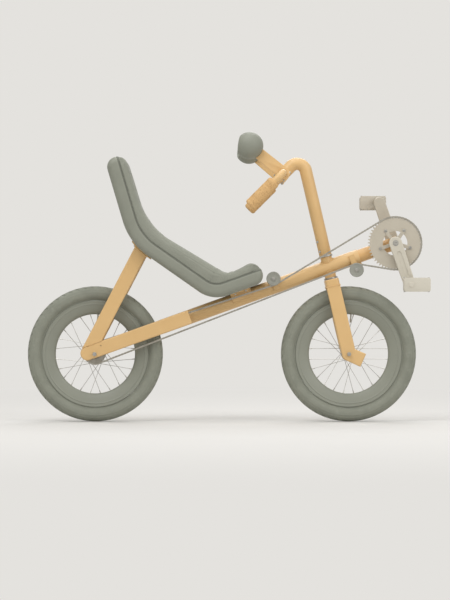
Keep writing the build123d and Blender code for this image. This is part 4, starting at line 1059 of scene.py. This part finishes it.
def seat_trim(surface):
    """Stitches beside the seams, the welt round the cover and the rubber edge of the shell."""

    def lie(run, y):
        start = CROWN.at(run, 40 * MM, y)
        spot, normal, _, _ = surface.ray_cast(start, CROWN.at(run, -40 * MM, y) - start)
        return spot + normal * 0.2 * MM

    stitches = Form()
    beside, pitch, half = 4.4 * MM, 6 * MM, 1.9 * MM
    count = round((CROWN.length - 2 * SEAM_END) / pitch)
    for seam in (SEAM_Y - beside, SEAM_Y + beside, -SEAM_Y - beside, -SEAM_Y + beside):
        for index in range(count):
            run = SEAM_END + pitch * (index + 0.5)
            stitches.rod(lie(run - half, seam), lie(run + half, seam), 0.45 * MM, 5)
    count = round(2 * (SEAM_Y - 8 * MM) / pitch)
    for channel in range(CHANNELS):
        for shift in (-beside, beside):
            run = SEAM_END + CHANNEL_PITCH * channel + shift
            for index in range(count):
                y = pitch * (index - (count - 1) / 2)
                stitches.rod(lie(run, y - half), lie(run, y + half), 0.45 * MM, 5)
    stitches.save("seat_stitches", "seat_fabric", "frame", look="thread")

    welt = []
    for point in seat_loop(SHELL_HALF + 1 * MM, 55 * MM, -1 * MM, SIDE_ROUND):
        spot, normal, _, _ = surface.find_nearest(point)
        welt.append(spot + normal * 0.4 * MM)
    Form().bead(welt, 2.0 * MM).save("seat_welt", "seat_fabric", "frame", look="tape")
    edge = seat_loop(SHELL_HALF - 4 * MM, TRAY_DEPTH - 0.5 * MM, 4 * MM, 20 * MM)
    Form().bead(edge, 4.2 * MM, sides=12).save("shell_edging", "seat_shell", "frame", look="edging")


# Pieces cut open and with rounded edges
def box(centre, ways, halves):
    """Box round a centre, by three directions and the half sizes along them in mm."""
    reach = [way * half * MM for way, half in zip(ways, halves)]
    return Form().rows([
        [centre + reach[0] * end + reach[1] * a + reach[2] * b for a, b in ((-1, -1), (1, -1), (1, 1), (-1, 1))]
        for end in (-1, 1)
    ], caps=True)


def on_pedal(name, x, y, z):
    """Point by a pedal: ahead of its spindle, to the left of the bicycle's middle, and up, in mm."""
    spin = PLACE[f"pedal_{name}_spin"]
    return Vector((spin.x + x * MM, y * MM, spin.z + z * MM))


def cut_pieces():
    """Clamps with their slots, open pedal cages, and arms with eased edges."""
    softened("riser", "steering", 0.8 * MM, [
        box(on_steering(RISER_LOW + 39 * MM, -20 * MM), (STEER_UP, STEER_AHEAD, LEFT), (41, 7, 1.25)),
        box(BAR_CENTRE + BAR_WAY * 21 * MM, (LEFT, BAR_WAY, BAR_RISE), (30, 8, 1.25)),
    ])
    softened("main_tube", "frame", 0.8 * MM, [
        box(on_tube(TUBE_FRONT + 24 * MM, -36 * MM), (TUBE_BACK, TUBE_UP, LEFT), (26, 12, 1.25)),
    ])
    softened("seat_saddle", "frame", 1.0 * MM)
    for name, way in SIDES:
        slit = box(arm_clamp(way, -20), (LEFT, ARM_WAY, ARM_RISE), (9, 8, 1.25))
        softened(f"mirror_arm_{name}", "steering", 1.4 * MM, [slit])
        # middle and half size ahead, middle and half size up, in mm
        windows = [
            box(on_pedal(name, x, way * 134, z), (Vector((1, 0, 0)), LEFT, Vector((0, 0, 1))), (half_x, 37, half_z))
            for x, half_x, z, half_z in (
                (-way * 40.5, 26.5, 0, 30), (way * 18.75, 4.75, 0, 30), (0, 15, 26, 12), (0, 15, -26, 12),
            )
        ]
        # The near pedal gets the painted lit, lighter plastic and the far pedal the painted shaded, darker one
        softened(f"pedal_{name}", f"pedal_{name}", 1.3 * MM, windows)


def turned_pieces():
    """Sleeve of the bottom bracket, headset cups with a seal groove, and idlers with rounded flanges."""
    sleeve = both_halves(in_mm([(23.0, 36.5), (26.6, 36.5), (27.5, 35.6)]))
    Form().lathe(BB, LEFT, sleeve, 72).save("bracket_sleeve", "frame_paint", "frame", look="boom")
    # radius, height from the head tube's end, in mm
    cup = in_mm((
        (14.4, 0), (26.6, 0), (28, 1.2), (28, 3.0), (27.2, 3.3), (27.2, 4.1), (28, 4.4), (28, 6.2),
        (27.2, 7), (14.4, 7),
    ))
    cups = Form()
    for way in (1, -1):
        cups.lathe(HEAD + STEER_UP * way * HEAD_HALF, STEER_UP * way, cup, 72, closed=True)
    cups.save("turned_headset_cups", "bearing_steel", "frame", ["headset_cups"])
    # radius, half width, in mm
    idler = both_halves(in_mm((
        (4.05, 6.5), (10.2, 6.5), (10.8, 5.9), (11.4, 5.4), (23.0, 5.4), (24.2, 6.2), (26.8, 6.4),
        (28.0, 5.9), (28.4, 5.2), (28.1, 4.6), (24.6, 4.2), (20.6, 4.1), (19.4, 3.4), (19.1, 2.2),
    )))
    for node in ("power_idler", "return_idler"):
        centre = middle(node)
        wheel = Form().lathe(centre, LEFT, idler, 72, closed=True)
        wheel.save(f"moulded_{node}", "idler_plastic", "frame", [node])
        Form().hex_nut(centre - LEFT * 6.6 * MM, -LEFT, 9, 3.4).save(f"{node}_nut", "bearing_steel", "frame")


# Bolts
def frame_bolts():
    form = Form()
    for back in (11, 33):
        form.through(on_tube(TUBE_FRONT + back * MM, -36.5 * MM), LEFT * 13 * MM, (4.4, 4), (8, 4))
    for back in (38, 82):
        for y in (46, -46):
            form.bolt(on_tube(NOSE_BACK + back * MM, 25 * MM, y * MM), -TUBE_UP, 4, 3.6)
    hold_run = SEAT.place(HOLD)[0]
    for run in (hold_run - 28 * MM, hold_run + 28 * MM):
        for y in (35 * MM, -35 * MM):
            seat = SEAT.at(run, -5.3 * MM, y)
            form.bolt(seat, seat - SEAT.at(run, 0, y), 5, 4)
    form.bolt(on_tube(REAR_REACH - 150 * MM, -6 * MM, 50 * MM), -LEFT, 4, 3.6)
    form.save("frame_bolts", "bearing_steel", "frame")


def steering_bolts():
    """Bolts across the clamps' slots, with a boss under each head and nut."""
    form, bosses = Form(), Form()
    # centre, direction, start and end of the bosses in mm
    clamps = [(on_steering(RISER_LOW + up * MM, -19.65 * MM), LEFT, 10, 17) for up in (18, 58)]
    for way in (1, -1):
        clamps.append((BAR_CENTRE + BAR_WAY * 20.5 * MM + LEFT * way * 14 * MM, BAR_RISE, 12, 20))
        clamps.append((arm_clamp(way, -19.5), ARM_RISE, 11, 17.5))
    for centre, way, start, end in clamps:
        boss = in_mm([(0, start), (5.6, start), (5.6, end - 0.8), (4.8, end), (0, end)])
        for side in (1, -1):
            bosses.lathe(centre, way * side, boss, 28)
        form.through(centre, way * end * MM, (3.8, 3.6, 2), (7, 3.4))
    form.save("steering_bolts", "bearing_steel", "steering")
    bosses.save("clamp_bosses", "frame_paint", "steering")


def crank_bolts():
    form = Form()
    cap = in_mm([(0, -1), (8.6, -1), (8.6, 1.4), (7.8, 2.4), (4.6, 2.4), (4.0, 1.6), (4.0, 0.2), (0, 0.2)])
    for way in (1, -1):
        form.lathe(BB + LEFT * way * 80 * MM, LEFT * way, cap, 40)
    for arm in range(5):
        angle = TAU * arm / 5
        spot = BB + (TUBE_BACK * cos(angle) + TUBE_UP * sin(angle)) * 62 * MM
        form.bolt(spot - LEFT * 51.2 * MM, -LEFT, 4.6, 2.2, 2.4)
        form.hex_nut(spot - LEFT * 45.8 * MM, LEFT, 8, 1.6)
    form.save("crank_bolts", "bearing_steel", "crank")


def pedal_pins():
    """Grip pins on the treads and a cap over each pedal's outer bearing."""
    cap = in_mm([(0, -1), (10.5, -1), (10.5, 1.2), (9.6, 2.0), (0, 2.2)])
    for name, way in SIDES:
        form = Form()
        for y in (96, 118, 150, 172):
            for x in (-way * 71, way * 25.6):
                for up in (1, -1):
                    foot, tip = [on_pedal(name, x, way * y, up * z) for z in (27, 29.2)]
                    form.rod(foot, tip, 1.7 * MM, 10, 1.3 * MM)
        form.save(f"pedal_pins_{name}", "bearing_steel", f"pedal_{name}")
        shell = Form().lathe(on_pedal(name, 0, way * 180, 0), LEFT * way, cap, 40)
        # The near cap takes the painted lit, lighter plastic and the far cap the painted shaded, darker one
        shell.save(f"pedal_cap_{name}", "pedal_near" if way < 0 else "pedal_far", f"pedal_{name}")


# Weld beads
BEAD_R = 2.3 * MM
BEAD_STEP = 0.8 * MM
BEAD_PITCH = 2.4 * MM
BEAD_RIPPLE = 0.14
CROSS_R = 15.3 * MM
ARM_BEAD_R = CROSS_R + 0.6 * MM
SMALL_BEAD = 0.9


def evenly(corners, closed=True):
    """Points BEAD_STEP apart along straight runs between corners."""
    points = []
    for start, end in zip(corners, corners[1:] + corners[:1] if closed else corners[1:]):
        pieces = max(1, round((end - start).length / BEAD_STEP))
        points.extend(start.lerp(end, step / pieces) for step in range(pieces))
    return points


def rectangle(place, low_a, high_a, low_b, high_b):
    """Points round a rectangle with clipped corners; place turns a pair of lengths into a point."""
    cut = 2 * MM
    return evenly([place(a, b) for a, b in (
        (low_a + cut, low_b), (high_a - cut, low_b), (high_a, low_b + cut), (high_a, high_b - cut),
        (high_a - cut, high_b), (low_a + cut, high_b), (low_a, high_b - cut), (low_a, low_b + cut),
    )])


def around(radius, place):
    """Points BEAD_STEP apart round a circle; place turns an angle into a point."""
    count = round(TAU * radius / BEAD_STEP)
    return [place(TAU * index / count) for index in range(count)]


def cross_tube_beads(form, back, way):
    """Beads round an end of a cross tube: on the main tube and on the rear arm."""

    def tube_seam(angle):
        up = -10 * MM + CROSS_R * sin(angle)
        return on_tube(back + CROSS_R * cos(angle), up, way * sqrt(TUBE_R**2 - up**2))

    def arm_seam(angle):
        return on_tube(back + ARM_BEAD_R * cos(angle), -10 * MM + ARM_BEAD_R * sin(angle), way * 58.6 * MM)

    form.weld(around(CROSS_R, tube_seam))
    form.weld(around(CROSS_R, arm_seam), SMALL_BEAD)


def strut_beads(form, way):
    """Beads of a seat strut: round its bridge, its foot on the rear arm and its top under the shell."""
    bridge = APEX + STRUT_UP * 410 * MM + LEFT * way * 58.6 * MM
    form.weld(around(
        CROSS_R, lambda angle: bridge + (STRUT_AHEAD * cos(angle) + STRUT_UP * sin(angle)) * ARM_BEAD_R
    ), SMALL_BEAD)
    inner, outer = sorted((way * 59.6 * MM, way * 76.4 * MM))
    axle_end = REAR_REACH + APEX_PAST_AXLE
    form.weld(rectangle(
        lambda ahead, y: on_tube(axle_end - ahead, 28.2 * MM, y), -10.8 * MM, 71.5 * MM, inner, outer
    ))
    ends = []
    for edge in (-28 * MM, 28 * MM):
        start = APEX + STRUT_UP * 300 * MM + STRUT_AHEAD * edge
        reach = next(step * MM for step in range(400) if SEAT.place(start + STRUT_UP * step * MM)[1] > -5.6 * MM)
        ends.append(SEAT.place(start + STRUT_UP * reach)[0])
    form.weld(rectangle(lambda run, y: SEAT.at(run, -6.2 * MM, y), min(ends), max(ends), inner, outer))


def weld_beads():
    form = Form()
    head_r, shell_r, boom_r = 23.4 * MM, 27.5 * MM, 26.2 * MM
    for side in (1, -1):

        def head_seam(angle):
            reach = side * sqrt(TUBE_R**2 - (head_r * sin(angle)) ** 2)
            up = (reach - head_r * cos(angle) * STEER_AHEAD.dot(TUBE_UP)) / STEER_UP.dot(TUBE_UP)
            return HEAD + STEER_UP * up + STEER_AHEAD * head_r * cos(angle) + LEFT * head_r * sin(angle)

        form.weld(around(head_r, head_seam))
    for back in (369 * MM, 317 * MM):
        for way in (1, -1):
            cross_tube_beads(form, REAR_REACH - back, way)
    for way in (1, -1):
        strut_beads(form, way)
        cheek = [on_tube(NOSE_BACK + back * MM, -5.4 * MM, way * 30.6 * MM) for back in (19, 101)]
        form.weld(evenly(cheek, closed=False), closed=False)
    form.save("frame_welds", "frame_paint", "frame")

    def shell_seam(angle):
        up = boom_r * sin(angle)
        return on_tube(sqrt(shell_r**2 - up**2), up, boom_r * cos(angle))

    Form().weld(around(boom_r, shell_seam), 0.8).save("boom_weld", "frame_paint", "frame", look="boom")
    fork = Form()
    for way in (1, -1):
        inner, outer = sorted((way * 50.2 * MM, way * 67.6 * MM))
        fork.weld(rectangle(
            lambda ahead, y: on_steering(277.6 * MM, ahead, y), -28 * MM, 28 * MM, inner, outer
        ))
    fork.save("fork_welds", "frame_paint", "steering")


wheels()
chain()
grips()
mirrors()
seat_shell()
seat_trim(seat_cushion())
cut_pieces()
turned_pieces()
frame_bolts()
steering_bolts()
crank_bolts()
pedal_pins()
weld_beads()

# Studio
METRES_PER_PIXEL = 4 * MM
IMAGE_HEIGHT = 600
CAMERA_AWAY = 12.0
SENSOR = 36.0
WORLD_LIGHT = 0.45
FADE_FROM, FADE_TO = 1.3, 4.4


def camera_and_lights():
    """Long lens from the right side, and four soft lights."""
    scene = bpy.context.scene
    camera = linked("camera", bpy.data.cameras.new("camera"))
    camera.data.sensor_width = SENSOR
    camera.data.lens = SENSOR * CAMERA_AWAY / (IMAGE_HEIGHT * METRES_PER_PIXEL)
    camera.location = (-0.012, -CAMERA_AWAY, -0.11)
    camera.rotation_euler = (pi / 2, 0, 0)
    scene.camera = camera
    # name, place, width, watts
    for name, place, width, watts in (
        ("key", (-2.2, -3.6, 4.4), 3.6, 150),
        ("fill", (3.4, -3.2, 2.2), 3.4, 75),
        ("far_side", (0.6, 4.2, 3.4), 3.4, 90),
        ("overhead", (0.0, 0.0, 4.6), 3.0, 70),
    ):
        lamp = bpy.data.lights.new(name, "AREA")
        lamp.size = width
        lamp.energy = watts
        stand = linked(name, lamp)
        stand.location = place
        stand.rotation_euler = (Vector((0, 0, -0.1)) - Vector(place)).to_track_quat("-Z", "Y").to_euler()


def surround():
    """World that lights evenly, and that the camera, metal and glass see as the plain surround."""
    world = bpy.data.worlds.new("surround")
    bpy.context.scene.world = world
    world.use_nodes = True
    tree = world.node_tree
    lit = tree.nodes["Background"]
    lit.inputs["Color"].default_value = (1, 1, 1, 1)
    lit.inputs["Strength"].default_value = WORLD_LIGHT
    shown = add_node(tree, "Background", {"Color": linear(*SURROUND)})
    rays = add_node(tree, "LightPath", {}).outputs
    either = add_node(
        tree, "Math", {0: rays["Is Glossy Ray"], 1: rays["Is Transmission Ray"]}, operation="MAXIMUM"
    )
    seen = add_node(tree, "Math", {0: rays["Is Camera Ray"], 1: either.outputs["Value"]}, operation="MAXIMUM")
    blend = add_node(tree, "MixShader", {
        "Fac": seen.outputs["Value"], 1: lit.outputs["Background"], 2: shown.outputs["Background"],
    })
    tree.links.new(blend.outputs["Shader"], tree.nodes["World Output"].inputs["Surface"])


def floor():
    """Pale matt floor that fades into the surround."""
    mesh = bpy.data.meshes.new("floor")
    disc = bmesh.new()
    bmesh.ops.create_circle(disc, cap_ends=True, segments=96, radius=4.6)
    disc.to_mesh(mesh)
    disc.free()
    ground = linked("floor", mesh)
    ground.location = (0, 0, cad_box[0][2] - 0.5 * MM)
    shader = Shader("floor_matt", FLOOR_LIT, 0.9)
    shader.tint(shader.noise(0.5, 2.0), 0.4, 0.8, 0.15, (211, 209, 204))
    length = shader.node("VectorMath", {0: shader.place}, operation="LENGTH")
    fade = shader.combine("POWER", shader.spread(length.outputs["Value"], FADE_FROM, FADE_TO), 0.7)
    glow = shader.node("Emission", {"Color": linear(*SURROUND)})
    blend = shader.node("MixShader", {
        "Fac": fade, 1: shader.surface.outputs["BSDF"], 2: glow.outputs["Emission"],
    })
    shader.tree.links.new(blend.outputs["Shader"], shader.tree.nodes["Material Output"].inputs["Surface"])
    mesh.materials.append(shader.material)


bpy.context.scene.view_settings.view_transform = "Standard"
camera_and_lights()
surround()
floor()
